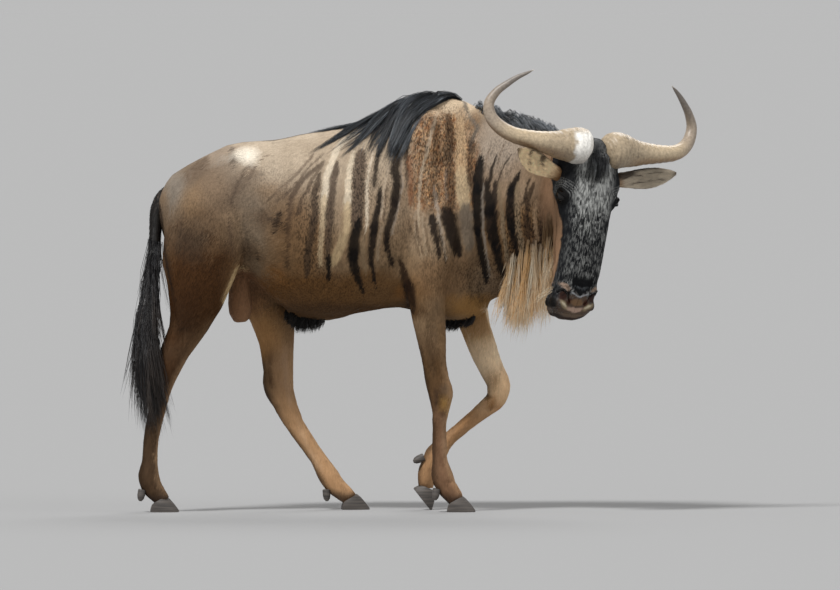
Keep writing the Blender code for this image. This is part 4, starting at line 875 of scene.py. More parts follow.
def points_of(mesh):
    found = np.empty(len(mesh.vertices) * 3, np.float32)
    mesh.vertices.foreach_get("co", found)
    return found.reshape(-1, 3).astype(float)


def normals_of(mesh):
    found = np.empty(len(mesh.vertices) * 3, np.float32)
    mesh.vertex_normals.foreach_get("vector", found)
    return found.reshape(-1, 3).astype(float)


def distance(points, spot):
    return np.linalg.norm(points - np.array(spot), axis=1)


def unit(rows):
    return rows / np.maximum(np.linalg.norm(rows, axis=-1, keepdims=True), 1e-9)


def ramp(value, low, high):
    """0 below low, 1 above high and smooth between."""
    share = np.clip((value - low) / (high - low), 0.0, 1.0)
    return share * share * (3 - 2 * share)


def soft_noise(places, cell, seed=0):
    """Smooth random values from -1 to 1 that change over a cell of that size."""
    grid = np.asarray(places, float) / cell
    low = np.floor(grid).astype(np.int64)
    part = grid - low
    part = part * part * (3 - 2 * part)
    total = np.zeros(len(grid))
    for corner in itertools.product((0, 1), repeat=3):
        at = low + np.array(corner)
        key = (at[:, 0] * 73856093) ^ (at[:, 1] * 19349663) ^ (at[:, 2] * 83492791) ^ (seed * 97531)
        key = ((key ^ (key >> 13)) * 1274126177) & 0xFFFFFFFF
        key = ((key ^ (key >> 16)) * 668265263) & 0xFFFFFFFF
        value = (key >> 8) / float(1 << 23) - 1.0
        total += value * np.prod(np.where(np.array(corner), part, 1 - part), axis=1)
    return total


def blend_in(colours, *layers):
    """Mixes layers into the colours in turn, each a share for every point and a colour."""
    for share, colour in layers:
        share = np.clip(share, 0.0, 1.0)[:, None]
        tint = linear(colour) if isinstance(colour, str) else colour
        colours = colours * (1 - share) + np.array(tint, float) * share
    return colours


def plain(points, colour):
    return np.tile(np.array(linear(colour) if isinstance(colour, str) else colour, float), (len(points), 1))


def lay_line(seen, line, width):
    """How near each point is to a line, as a share that falls off smoothly over the width."""
    return np.exp(-(line_distance(seen, line) / width) ** 2)


def displace(item, points, normals, rise):
    """Moves the vertices along their normals."""
    item.data.vertices.foreach_set("co", (points + normals * rise[:, None]).astype(np.float32).ravel())
    item.data.update()


def head_parts(points):
    """How far each point lies down the face, to the head's left and out of the forehead."""
    away = points - np.array(POLL)
    return away @ np.array(NOSE), away @ np.array(LEFT), away @ np.array(BROW)


def head_shares(points):
    """1 on the head in front of the neck, falling to 0 behind the jaw."""
    reach, _, depth = head_parts(points)
    share = 1.0 - np.maximum(-.17 - depth, 0) / .08 - np.maximum(-.05 - reach, 0) / .05
    near = distance(points, POLL) < .75
    return np.where(near & (depth > -.3), np.clip(share, 0, 1), 0.0)


def face_shares(points):
    """1 on the head in front of the jaw's back edge, where the body's markings end."""
    return head_shares(points) * ramp(head_parts(points)[2], -.165, -.135)


def limb_shares(points):
    return np.clip((.6 - points[:, 2]) / .12, 0.0, 1.0)


# ---- markings of the coat
# Soft fields of colour seen from the side: x, z, half length, half height, colour, share
FIELDS = table("mmmmcn",
    "-300 1170 420 150 b9ac9a .85",  # silvery back
    "-190 1080 230 180 a4947f .55",
    "-660 1060 160 140 796b5c .9",  # grey rump
    "-725 960 120 120 716252 .75",
    "-610 1150 100 45 9b8d7e .6",
    "-640 990 70 120 7f6a54 .6",
    "-500 900 55 180 756a5d .75",  # grey edge of the haunch
    "-680 740 190 210 43290f .96",  # dark thigh
    # painted shade on the upper thigh
    "-710 860 70 60 463e36 .55",
    "-700 1000 45 50 957855 .4",
    # painted sheen on the rump
    "-760 1050 35 80 8d8880 .55",
    # painted shade on the lower back of the thigh, over its dark brown
    "-760 600 100 110 3a2411 .85",
    "-560 700 50 120 7d6044 .6",
    "-370 860 110 170 6c5339 .78",  # brown flank
    "-440 740 60 60 8f6334 .7",
    "-330 700 190 90 6b4c2a .88",
    "-120 700 220 80 6f5232 .85",
    "-200 640 330 35 4f3a26 .8",  # shaded line of the belly
    "110 1290 140 45 d2c0a6 .9",  # pale edge of the shoulder blade
    "100 1130 125 170 a58a6d .8",  # tan shoulder
    "75 860 90 110 998874 .8",
    "110 760 110 90 7f664d .8",
    "285 1170 90 110 a89c8e .85",  # grey upper neck
    "300 1020 120 120 94806b .6",
    "330 880 140 130 725637 .85",
    "430 1060 60 130 7d6752 .8",
    "400 850 80 80 614831 .8",
    "200 660 100 50 a98047 .7",  # ochre chest
    "-35 700 28 25 8f6538 .5")  # ochre patch behind the elbow
# Streaks seen from the side: colour, half width at the top and at the bottom, share, points as x and z
STREAKS = table("cmmnp",
    "c6b393 20 26 .85 158,1096 161,1026 165,984",
    "776d61 27 20 .9 172,974 175,914 182,853",
    "b3a48f 5 5 .85 80,1273 55,1198 35,1113 25,1043 18,963 23,913",
    "a59a8d 5 3.5 .85 74,1043 80,983 90,913 105,838 113,808",
    "a8998a 3.5 3.5 .7 108,1093 105,1043 113,993",
    "9b8f82 3.2 4 .85 -15,1233 -30,1173 -35,1083 -32,1043 -45,993 -56,938 -65,883",
    "6e675e 6 4.5 .85 160,1308 180,1263 210,1228 184,1171 189,1157",
    "38281d 8 5 .8 -10,1233 -17,1153 -15,1093 -20,1043",
    "2b2018 3.5 2.5 .8 -8,1238 0,1198 25,1171 50,1163",
    "46321f 10 12 .5 70,1260 74,1163 70,1063 66,975",
    "382619 13 16 .62 112,1262 118,1148 120,1083 122,975",
    "3d2c1f 10 10 .68 190,1190 186,1093 187,1043",
    "c2a987 13 19 .66 150,1255 155,1173 158,1090",
    "7b4a2a 8 8 .6 -8,1138 -5,1063 -8,983",
    "a99a86 3 3 .6 5,965 12,900 30,810",
    "a99a86 3 3 .6 33,955 38,890 46,815",
    "4a3a2c 4 3 .8 13,933 18,888 29,823",
    "57483a 3 3 .75 -10,938 8,863 21,818",
    "6a5947 4 5 .7 40,938 45,888 55,833",
    "1c130e 13 8 .97 64,948 70,898 83,848 90,818",
    "2b2018 3 3 .85 83,928 100,838 110,798",
    "1a110c 26 14 .98 111,963 118,923 133,873 150,823",
    "d2c7b4 8 11 .92 -162,1218 -230,1173 -260,1123 -276,1063 -280,993",
    "b9a88d 11 7 .85 -279,1013 -285,913 -290,863 -292,798",
    "d2c6b1 7 11 .92 -185,1151 -199,1103 -207,1043 -210,983",
    "b7a587 13 15 .85 -210,993 -210,923 -225,853 -249,798",
    "8d7a63 6 6 .75 -224,963 -222,923 -224,883",
    "cdc1ae 4 5 .9 -125,1148 -140,1083 -145,1013 -145,943 -152,898",
    "b3a491 4 4 .75 -70,1128 -85,1068 -95,1013 -102,938",
    "988976 5 6 .75 -100,913 -107,863 -110,803",
    "8b7a64 6 6 .75 -155,883 -157,823 -150,763",
    "42352a 9.5 12 .86 -295,1083 -312,1023 -307,973 -315,913 -330,838 -340,763",
    "45362b 6 10 .8 -284,1122 -361,1051 -386,1000 -391,934",
    "3f3024 8 5 .75 -389,934 -391,862 -396,786",
    "4c3d31 4 7 .7 -285,1113 -320,1063 -350,1003 -360,953",
    "54463a 3 5 .65 -285,1148 -330,1103 -360,1063 -405,1012",
    "4a3626 12 10 .55 -470,965 -474,925",
    "4d4036 11.5 11 .88 -242,1118 -253,1053 -260,983 -265,913 -267,838",
    "100b08 8.5 8.5 .97 -266,823 -267,788 -264,748",
    "54463b 20 19 .88 -162,1148 -170,1063 -176,988 -177,913",
    "100b08 12 20 .98 -172,938 -180,898 -185,858 -186,813",
    "100b08 19 4 .98 -185,833 -184,788 -172,746 -154,698",
    "241b15 6 7 .92 -102,1153 -117,1098 -122,1043",
    "1b1410 6 15 .98 -101,1043 -110,983 -120,938 -127,888",
    "1b1410 15 3.5 .98 -126,913 -130,838 -132,798 -125,753 -114,708",
    "1d1510 13 14 .97 -44,1160 -55,1093 -50,1043 -60,983",
    "201711 12 11 .97 -57,1003 -69,938 -82,898 -80,863",
    "201711 11 6 .97 -82,883 -79,848 -72,818 -64,783",
    "42342a 3 3 .7 -77,1053 -86,993 -95,938",
    "261b14 7 8 .92 -420,962 -428,935 -434,896",
    "5d4d40 3.5 3 .7 -450,1146 -478,1130 -517,1078 -558,1018",
    "5d4d40 4 3.5 .65 -314,1147 -375,1073 -473,987",
    "5d4d40 3.5 3 .6 -350,1073 -442,981",
    "4a3d33 5 5 .75 -488,1138 -534,1087 -565,1015 -585,954",
    "54453a 5 4 .65 -583,954 -578,880 -560,796",
    "4d4038 4 4 .7 -495,1106 -520,1056 -545,1020",
    "5a4a3c 22 16 .65 -655,1125 -690,1090 -715,1060",
    "48403a 11 7 .8 -574,1160 -572,1130 -567,1095",
    "2a201b 8 7 .85 -489,830 -487,805",
    "1d140e 4.5 3.5 .88 -806,985 -800,890 -790,830 -773,745 -748,668",
    # painted shadow of the tail down the gaskin
    "2a1c11 12 10 .6 -760,640 -775,580 -795,520",
    # painted shade in a crease of the gaskin
    "1f140c 3 2.5 .75 -775,572 -735,590 -700,598",
    "d6c19b 6 6 .85 -550,790 -572,740 -600,675",
    "0b0706 12 20 .98 222,1140 214,1078 213,1026",
    "0b0706 18.5 13 .98 211,1045 212,970 215,895",
    "0b0706 13 10 .98 215,914 219,853 229,801 239,740",
    "0b0706 8 21.5 .98 240,1073 247,1017 254,951",
    "0b0706 21.5 18 .98 254,970 262,895 269,848",
    "0b0706 18 8 .98 266,867 276,810 291,759",
    "1a120e 2 7 .92 272,1150 258,1111 253,1064",
    "1a120e 7 7 .92 270,1064 268,1026 266,979",
    "2a1e17 2 3 .85 319,1144 294,1111 279,1066",
    "0e0907 4 15 .98 344,1089 325,1050 315,1021",
    "0e0907 15 13 .98 315,1035 313,960 320,895",
    "0e0907 12.5 5 .98 318,914 329,853 344,794",
    "33261c 3 6 .88 376,1073 362,1031 358,989",
    "3a2b1f 7 10 .85 384,1050 369,998 366,946 370,885",
    "3b2e25 10 20 .88 434,1007 423,951 420,904 427,848",
    "4a3524 12 14 .7 388,914 395,867 407,801",
    "8b847b 3.2 3.6 .8 230,1054 230,989 232,895 239,829 251,759",
    "85755f 6 7 .8 281,1054 284,989 292,923 297,857 305,792",
    "84745e 8 9 .8 337,1054 335,989 339,914 349,848 358,801",
    "a98f72 5 6 .75 398,998 392,951 392,909 401,867",
    "6f5f50 2 2 .7 250,1167 240,1139 237,1096",
    "6f5f50 2 2 .7 299,1181 283,1148 270,1101",
    "5c4c3a 8 8 .55 184,782 189,735 194,688",
    "5c4c3a 7 8 .5 215,768 217,721 224,679",
    # painted shade in the armpit behind the elbow
    "2a1b11 6 20 .92 -40,803 -27,763 -15,713",
    "26180f 20 15 .94 -15,728 -8,683 -3,648")
NEAR_ONLY = ("d6c19b",)  # colours of the streaks that only the right side has
STREAK_COVER, STREAK_PATCH = .965, .035  # how fully a streak covers the ground, and how that varies
# Where dark hairs fleck the coat, seen from the side: x, z, half length, half height, share
FLECKS = table("mmmmn",
    "90 1130 150 200 .85",
    "-165 1030 50 160 .8",
    "-305 900 80 190 .75",
    "-70 960 100 240 .5",
    "360 880 100 150 .9",
    "240 750 120 100 .65",
    "-300 700 300 100 .5",
    "-660 850 200 250 .35",
    "90 790 90 100 .5",
    "285 1130 70 90 .45",
    "-450 1020 100 120 .35")
# Edge of the black face: how far down the face, and the lowest place out of the forehead that is black
FACE_EDGE = spots("100,-114 150,-95 200,-60 250,-28 320,-36 390,-45 450,-80 480,-100 500,-120")
# Patches of the muzzle, mirrored: place down the face, aside, half sizes, slant, colour, share
MUZZLE = table("mmmmncn",
    "515 0 50 76 0 54453a 1",
    "490 88 45 18 0 090807 .97",  # black side of the muzzle
    "446 52 9 18 -.5 a08977 .85",  # pale roll over the nostril
    # The nostril and the arc under its rim are painted dark as painted shade in the opening.
    "476 53 17 14 0 33201a 1",  # nostril
    "462 40 4 20 .9 1a1311 .9",
    "494 30 13 9 0 42251a .9",
    "494 0 13 24 0 7d6045 .75",
    "507 43 11 19 -.55 85775f .95",  # pale lobe under the nostril
    # painted highlight on the pale lobe
    "505 43 5 12 -.55 c9bda4 .85",
    "512 80 36 15 -.4 0c0a09 .96",
    "521 0 9 36 -.25 b99d8b .75",  # pale upper lip
    "537 10 8 40 0 6a5a4b .8",
    "545 52 10 30 0 2b2522 .9",
    "549 0 4 45 0 2c1d16 .95",
    "562 0 9 28 0 6d5548 .9")
# Wet light along the edges of the nose plate, mirrored: half width, colour, share, places aside and down
NOSE_LIGHT = table("mcnp",
    "2.1 a2a4a8 .7 30,464 16,470 0,476.5",
    "3 5d6063 .6 24,442 10,445 0,448")
# Colours of the four legs, from the knee or hock down: upper, lower. The far (left) legs are painted paler
# as painted light and the near (right) legs darker as painted shade.
LEG_COLOURS = {
    "foreleg_right": ("664d33", "7d6049"),
    "foreleg_left": ("e2c49e", "ab8763"),
    "hindleg_right": ("4b3420", "4d3b2a"),
    "hindleg_left": ("9c7d5d", "bb9670"),
}
# Patches on the legs and the belly: centre, radius, colour, share
SPOTS = table("vmcn",
    "105,-150,400 22 625a50 .55",
    "110,-150,345 30 a07a44 .85",
    "250,60,345 34 9a6a38 .7",
    # painted light on the far upper forearm
    "205,110,560 85 b8956a .75",
    "-475,130,390 30 6f6a63 .5",
    "-556,0,680 130 96735a .7",
    "-520,-60,755 45 6e4c38 .5",
    # painted highlight on the point of the hip
    "-528,-100,1135 56 f4eee0 .92",
    # painted shadow of the tail on the back of the thigh
    "-785,-90,560 70 2b1b0f .6",
    "-730,-120,560 60 5a3819 .55",
    "270,110,336 24 c08048 .7",
    # painted light on the far forearm, where the body shades it
    "232,110,490 85 f7e2c2 .7",
    # painted light on the far thigh, where the body shades it
    "-470,120,570 95 b98d5b .65",
    # painted highlight on the far point of the hip
    "-536,100,1135 65 e6dece .6")
CALLUS_AT, CALLUS_SIZE = (.112, -.15, .343), (.022, .05, .038)  # rough skin on the front of the knee
# Streaks of the legs: veins, tendons and creases, written as the streaks above
LEG_STREAKS = table("cmmnp",
    "8a6844 6 4 .75 176,613 204,576 237,538 233,496 242,444 251,416",
    "9a7650 3 3 .7 270,519 284,463 280,416",
    "8f6c47 3 5 .65 262,450 268,420 262,385",
    "9a7650 3 2.5 .65 186,552 200,519",
    "fbe9cc 7 7 .75 238,646 262,552 274,470",
    "e4c9a2 6 5 .6 215,560 222,500 236,430",
    "6e5033 8 6 .6 168,580 200,510 228,425 226,385",
    "4d3722 10 8 .75 236,372 250,350 252,325",
    "c79a6c 7 5 .6 200,330 160,275 125,225",
    "4a3524 4 3.5 .7 73,300 72,240 73,180",
    "a4866a 5.5 5 .6 100,305 99,240 101,175",
    "493827 12 12 .5 55,620 58,520 66,430",
    "7f6549 12 10 .45 92,610 98,520 100,450",
    "3a2c22 8 4 .65 72,395 78,372 76,345",
    "4d3521 7 6 .6 -452,530 -456,450 -450,395",
    "a78c73 10 8 .5 -412,520 -405,430 -395,340",
    "cfae8c 6 6 .6 -372,300 -340,220 -305,140",
    "3a2e26 12 6 .7 -486,395 -472,375 -455,340",
    "33241a 6 5 .6 -822,300 -824,220 -826,140",
    "6c5038 6 5 .5 -796,330 -800,240 -800,150")


def streak_share(flat, row, ragged):
    """How much each point lies inside one streak, seen from the side."""
    colour, top, low, strength, line = row
    line = np.array(line)
    near = np.all((flat > line.min(0) - .05) & (flat < line.max(0) + .05), axis=1)
    spots = flat[near]
    ways = np.diff(line, axis=0)
    spans = np.linalg.norm(ways, axis=1)
    before = np.concatenate(([0.0], np.cumsum(spans)))
    best, down = np.full(len(spots), 9.0), np.zeros(len(spots))
    for start, way, span, passed in zip(line, ways, spans, before):
        along = np.clip((spots - start) @ way / span ** 2, 0, 1)
        gap = np.linalg.norm(spots - start - along[:, None] * way, axis=1)
        down = np.where(gap < best, (passed + along * span) / before[-1], down)
        best = np.minimum(best, gap)
    half = (top + (low - top) * down) * np.minimum(.6 + 4 * np.minimum(down, 1 - down), 1)
    share = np.zeros(len(flat))
    share[near] = strength * (1 - ramp(best / half + ragged[near], .7, 1.35))
    return share


def limb_ahead(points):
    """For each limb how near the points are to its line, and how far in front of it by its depth."""
    found = {}
    for name, stations in LIMBS.items():
        rows = np.array(stations, float)
        best, ahead = np.full(len(points), 9.0), np.zeros(len(points))
        for start, end in zip(rows, rows[1:]):
            way = end[:3] - start[:3]
            along = np.clip((points - start[:3]) @ way / (way @ way), 0, 1)
            away = points - start[:3] - along[:, None] * way
            gap = np.linalg.norm(away, axis=1)
            ahead = np.where(gap < best, away[:, 0] / start[4], ahead)
            best = np.minimum(best, gap)
        found[name] = (best, ahead)
    return found


def leg_colours(points, colours, streak):
    """Legs with painted light down the front, painted shade down the back edge and a dark band above the
    hooves.
    """
    lines = limb_ahead(points)
    nearest = np.min([best for best, ahead in lines.values()], axis=0)
    full = limb_shares(points)
    z = points[:, 2]
    for name, (best, ahead) in lines.items():
        here = (best <= nearest) * full
        upper, lower = LEG_COLOURS[name]
        colours = blend_in(colours, (here, upper), (here * ramp(-z, -.4, -.28), lower),
            # painted shade down the back edge and painted light down the front
            (here * .7 * ramp(-ahead + .3 * streak, .35, .85), "332619"),
            (here * .45 * ramp(ahead + .3 * streak, .35, .9), "d3b08a"),
            (here * .75 * ramp(-z, -.062, -.045), "4a3c33"))
    return colours


def brow_folds(points, f):
    """The uneven distance from the eye, and 1 where the brow wrinkles."""
    gaps = eye_gaps(points) + .0015 * soft_noise(points, .02, 14)
    return gaps, ramp(gaps, .026, .032) * ramp(-gaps, -.068, -.052) * ramp(EYE_AT[0] - f, -.012, .012)


def head_colours(points, colours, values, head):
    """The black face with grey hairs and painted sheen, the tan cheek behind it and the pale muzzle with
    painted wet light on its nose.
    """
    f, l, u = head_parts(points)
    aside = np.abs(l)
    long_hairs = soft_noise(np.stack((f * .22, l, u), 1), .0019, 41)
    edge = np.interp(f, *np.array(FACE_EDGE).T) + .007 * soft_noise(points, .012, 42)
    face = face_shares(points)
    colours = blend_in(colours, (face * .85, "9d7b5f"), (face * .55 * ramp(-u, .1, .15), "6b5039"),
        (face * .55 * ramp(soft_noise(points * np.array([1, 1, .25]), .012, 46), 0.0, .7), "543c27"))
    black = head * ramp(u - edge, -.006, .006) * ramp(f, -.085, -.055)
    colours = blend_in(colours, (black, values.face[:]))
    # Grey hairs of the face, partly real and partly painted sheen: the glints are brightest where light
    # falls on the middle of the brow, fade down the face and thin out at the sides as painted shade.
    lit = ramp(.085 - aside, 0, .05) * (1 - .64 * ramp(f, .16, .31)) * ramp(f, -.02, .05)
    lit = lit * (1 - .7 * ramp(.02 - aside, 0, .01) * ramp(-f, -.12, -.07))
    sparse = ramp(f, .13, .26)
    glints = long_hairs + .3 * soft_noise(points, .02, 43)
    glints = black * ramp(glints, -.95 + .65 * sparse, 1.0) * (.13 * ramp(.08 - aside, 0, .03) + .02
        + .9 * lit)
    colours = blend_in(colours, (glints, values.glint[:]))
    gaps, folds = brow_folds(points, f)
    # painted highlight on the tops of the brow's wrinkles
    colours = blend_in(colours, (black * (.3 + .2 * long_hairs) * folds
        * ramp(np.sin(gaps * math.tau / WRINKLE_OVER), .3, .9), values.glint[:]))
    front = head * ramp(u, -.125, -.105)
    for at, side, tall, wide, slant, colour, share in MUZZLE:
        away = np.hypot((f - at - slant * (aside - side)) / tall, (aside - side) / wide)
        away = away + .2 * soft_noise(points, .009, 44)
        colours = blend_in(colours, (front * share * (1 - ramp(away, .6, 1.15)), colour))
    plate = .036 * (1 - ramp(f, .432, .482))
    colours = blend_in(colours, (front * ramp(f, .4, .42) * ramp(plate - aside, -.002, .002), "121315"))
    for width, colour, share, line in NOSE_LIGHT:
        away = line_distance(np.stack((aside, f), 1), line) / width + 1.0 * soft_noise(points, .005, 45)
        colours = blend_in(colours, (front * share * (1 - ramp(away, .5, 1.4)), colour))
    centre = head_parts(np.array([on_head(EYE_AT[0], 0.0, EYE_AT[2])]))
    away = np.sqrt((f - centre[0]) ** 2 + (aside - EYE_AT[1]) ** 2 + (u - centre[2]) ** 2)
    return blend_in(colours, (.99 * (1 - ramp(away, .025, .034)), "0d0c0c"))


def coat_colour(points, values):
    """The coat's colour at each point, the same for the skin and for the tufts that grow there."""
    x, y, z = points.T
    head = head_shares(points)
    far = y > 0
    tall = points * np.array([1.0, 1.0, .22])
    streak = soft_noise(tall, .006, 3) * .6 + soft_noise(tall, .0028, 4) * .4
    cloud, patch = soft_noise(points, .11, 5), soft_noise(points, .04, 6)
    bend = np.where(far, soft_noise(points, .12, 7) * .022 - .01, soft_noise(points, .07, 8) * .004)
    flat = np.stack((x + bend + soft_noise(tall, .01, 9) * .0022, z + cloud * .006), axis=1)
    colours = plain(points, values.ground[:])
    colours = blend_in(colours, (ramp(z, 1.02, 1.2) * ramp(-x, -.04, .1), values.silver[:]))
    for at, level, wide, high, colour, share in FIELDS:
        away = np.hypot((flat[:, 0] - at) / wide, (flat[:, 1] - level) / high) + .22 * patch
        colours = blend_in(colours, (share * (1 - ramp(away, .45, 1.25)), colour))
    rust = ramp(x, -.015, .02) * ramp(-x, -.225, -.195) * ramp(z, .95, .99) * ramp(-z, -1.29, -1.255)
    rust = rust * (1 - .6 * ramp(x, .135, .165) * ramp(z, 1.16, 1.2))
    grain = soft_noise(points, .004, 31) + .4 * soft_noise(tall, .014, 32)
    colours = blend_in(colours, (rust * .8 * ramp(grain, -.15, .35), "80522f"))
    dark_grain = ramp(soft_noise(points, .0036, 33) + .5 * soft_noise(tall, .02, 34), .15, .6)
    colours = blend_in(colours, (rust * .6 * dark_grain, "2c1f17"),
        (rust * .7 * ramp(soft_noise(points, .0034, 36), .2, .7), "d6ac7c"))
    flecks = np.full(len(points), .15)
    for at, level, wide, high, share in FLECKS:
        away = np.hypot((flat[:, 0] - at) / wide, (flat[:, 1] - level) / high)
        flecks = np.maximum(flecks, share * (1 - ramp(away, .5, 1.2)))
    ragged = .22 * streak + .12 * soft_noise(points, .012, 10)
    body = 1 - face_shares(points)
    for row in STREAKS:
        share = streak_share(flat, row, ragged) * (1 - far * (row[0] in NEAR_ONLY))
        colours = blend_in(colours, (share * body * (STREAK_COVER + STREAK_PATCH * patch), row[0]))
        flecks = flecks * (1 - .6 * share * (linear(row[0])[1] > .25))
    mottle = ramp(soft_noise(points, .007, 35) + .4 * streak, .25, .75)
    lower_neck = ramp(x, .2, .27) * ramp(-z, -1.05, -.92) * body
    colours = blend_in(colours, (.45 * mottle * lower_neck, "4a382b"))
    spine = ramp(.018 - np.abs(y), -.006, .008) * ramp(z, 1.1, 1.13) * ramp(-x, .02, .1)
    colours = blend_in(colours, (.75 * spine * ramp(x, -.72, -.4), "3b332d"))
    colours = leg_colours(points, colours, streak)
    for row in LEG_STREAKS:
        colours = blend_in(colours, (streak_share(points[:, ::2], row, .25 * streak), row[0]))
    for centre, radius, colour, share in SPOTS:
        away = distance(points, centre) / radius + .15 * patch
        colours = blend_in(colours, (share * (1 - ramp(away, .45, 1.1)), colour))
    callus = 1 - ramp(np.linalg.norm((points - CALLUS_AT) / CALLUS_SIZE, axis=1), .6, 1.1)
    colours = blend_in(colours, (.7 * callus * ramp(soft_noise(points, .005, 71), .1, .5), "cfae70"))
    colours = head_colours(points, colours, values, head)
    lively = .1 + .16 * ramp(x, -.45, -.3) * ramp(-z, -1.22, -1.1) * ramp(z, .66, .74)
    # The lower body below the flanks is darkened and warmed as painted shade.
    low = ramp(-z, -1.0, -.78) * (1 - limb_shares(points)) * ramp(-x, -.3, -.1)
    warmth_and_low_shade = 1 - body[:, None] * (np.array([.04, .08, .12]) + low[:, None] * np.array([.02, .06, .14]))
    colours = np.clip(colours * warmth_and_low_shade * (1 + lively * streak * body + .06 * patch)[:, None], .002, .95)
    return np.column_stack((colours, 1 - flecks * body * (1 - .5 * limb_shares(points))))


# ---- the skin
# Raised or sunk lines of the body, mirrored: half width, height, points
STROKES = table("mmp",
    "70 9 -20,20,1310 70,20,1335 150,20,1330",  # withers
    "50 12 -790,60,1000 -785,90,900 -775,100,800",  # point of the buttock
    "7 4 262,110,552 278,112,463",  # muscles of the forearm
    "7 4 225,110,560 228,112,500 240,112,430",
    "17 4 112,160,343",
    "14 -6 -470,150,800 -400,175,740 -360,190,690",  # fold of the flank
    "14 -8 -45,190,800 -30,185,720 5,160,640",  # behind the elbow
    "22 -6 -35,60,1290 -30,130,1180 -20,170,1020 0,190,880",
    "16 -6 170,60,1290 215,110,1200 195,170,1080 185,185,920",
    "12 4 75,100,1260 60,160,1120 70,190,980",  # spine of the blade
    "24 5 -520,130,1130 -500,165,1020 -490,175,880",  # front of the haunch
    "10 -5 -780,70,960 -775,110,850 -755,120,730",  # back of the thigh
    "8 3 98,160,560 82,150,470",  # muscle of the forearm
    "5 3 66,112,300 66,110,190")  # tendon of the foreleg
# Folds that hang down the neck between its stripes: x at the top and at the bottom
NECK_FOLDS = table("m",
    "236 256",
    "290 306",
    "352 352",
    "398 392")
# Lines of the head, mirrored: half width, height, places down the face and aside
HEAD_STROKES = table("mmp",
    "3.5 -2.2 478,0 512,0",  # groove of the upper lip
    "4 -2.5 488,20 505,30 520,52 518,80",
    "12 4.5 500,60 506,66",  # lobe under the nostril
    "7 3 440,46 446,66",  # roll over the nostril
    "6 3 524,0 522,40",  # upper lip
    "3 1.4 445,10 462,4",
    "2.5 1.6 452,30 470,12 480,0",  # edge of the nose plate
    "10 3 235,62 330,60 400,58")  # crest of the cheek


def line_distance(points, line):
    best = np.full(len(points), 9.0)
    for start, end in zip(line, line[1:] if len(line) > 1 else line):
        start, end = np.array(start), np.array(end)
        way = end - start
        share = np.clip((points - start) @ way / max(way @ way, 1e-12), 0, 1)
        best = np.minimum(best, np.linalg.norm(points - start - share[:, None] * way, axis=1))
    return best


def coat_depth(points):
    """How far the skin lies under the solids' surface, where the tufts' tips reach."""
    return .0035 - .0018 * limb_shares(points) - .0026 * head_shares(points)


def sculpt(item):
    """Sinks the skin by the coat's depth and adds folds, veins and unevenness."""
    points, normals = points_of(item.data), normals_of(item.data)
    head = head_shares(points)
    limbs = limb_shares(points)
    rise = -coat_depth(points)
    mirrored = points * np.array([1, -1, 1])
    for width, height, line in STROKES:
        for where in (points, mirrored):
            rise = rise + height * lay_line(where, line, width) * (1 - head)
    x, z = points[:, 0], points[:, 2]
    hang = ramp(z, .74, .84) * ramp(-z, -1.16, -1.04) * (1 - head)
    for top, low in NECK_FOLDS:
        middle = top + (low - top) * ramp(-z, -1.1, -.8) + .006 * soft_noise(points, .06, 13)
        rise = rise + .0045 * hang * np.exp(-((x - middle) / .012) ** 2)
    rise = rise + soft_noise(points, .055, 11) * .0014 * (1 - head) * (1 - limbs * .7)
    rise = rise + soft_noise(points * np.array([1, 1, .4]), .012, 12) * .0005 * (1 - limbs)
    displace(item, points, normals, rise)


def eye_gaps(points):
    """The distance of each point from the nearer eye's centre."""
    return np.minimum(*(distance(points, on_head(*eye_place(side))) for side in SIGNS))


def refine_face(item):
    """Splits the triangles round the eyes, the nose and the lips."""
    bm = bmesh.new()
    bm.from_mesh(item.data)
    points = np.array([tuple(vert.co) for vert in bm.verts])
    f, _, u = head_parts(points)
    fine = (head_shares(points) > .5) & ((eye_gaps(points) < .075) | ((f > .42) & (u > -.125)))
    edges = [edge for edge in bm.edges if fine[edge.verts[0].index] and fine[edge.verts[1].index]
        and edge.calc_length() > .0028]
    bmesh.ops.subdivide_edges(bm, edges=edges, cuts=1, use_grid_fill=False)
    bmesh.ops.triangulate(bm, faces=bm.faces)
    bm.to_mesh(item.data)
    bm.free()


def sculpt_face(item):
    """Adds the wrinkles over the eyes, the nose plate, the lobes of the nostrils and the lips."""
    points, normals = points_of(item.data), normals_of(item.data)
    head = head_shares(points)
    f, l, u = head_parts(points)
    seen = np.stack((f, np.abs(l), np.zeros(len(f))), axis=1)
    front = head * ramp(u, -.125, -.1)
    rise = np.zeros(len(points))
    for width, height, line in HEAD_STROKES:
        rise = rise + front * height * lay_line(seen, [(*spot, 0.0) for spot in line], width)
    gaps, above = brow_folds(points, f)
    rise = rise + head * above * .0011 * np.sin(gaps * math.tau / WRINKLE_OVER)
    below = ramp(gaps, .026, .03) * ramp(-gaps, -.044, -.036) * ramp(f - EYE_AT[0], 0.0, .014)
    rise = rise + head * below * .0008 * np.sin(gaps * math.tau / WRINKLE_UNDER)
    pores = ramp(f, .43, .47) * front
    rise = rise + pores * .00035 * soft_noise(points, .0035, 15)
    displace(item, points, normals, rise)


def weigh(item, weights, digits):
    """Stores weights as the vertex group that the next modifier reads."""
    group = item.vertex_groups.new(name="weights")
    weights = np.round(weights, digits)
    for level in np.unique(weights):
        group.add(np.flatnonzero(weights == level).tolist(), float(level), "REPLACE")


def smooth_where(item, weights, iterations):
    """Smooths the mesh where the weights say."""
    weigh(item, weights, 1)
    smooth = item.modifiers.new("Smooth", "SMOOTH")
    smooth.factor = .5
    smooth.iterations = iterations
    smooth.vertex_group = "weights"
    apply_modifiers(item)
    item.vertex_groups.clear()


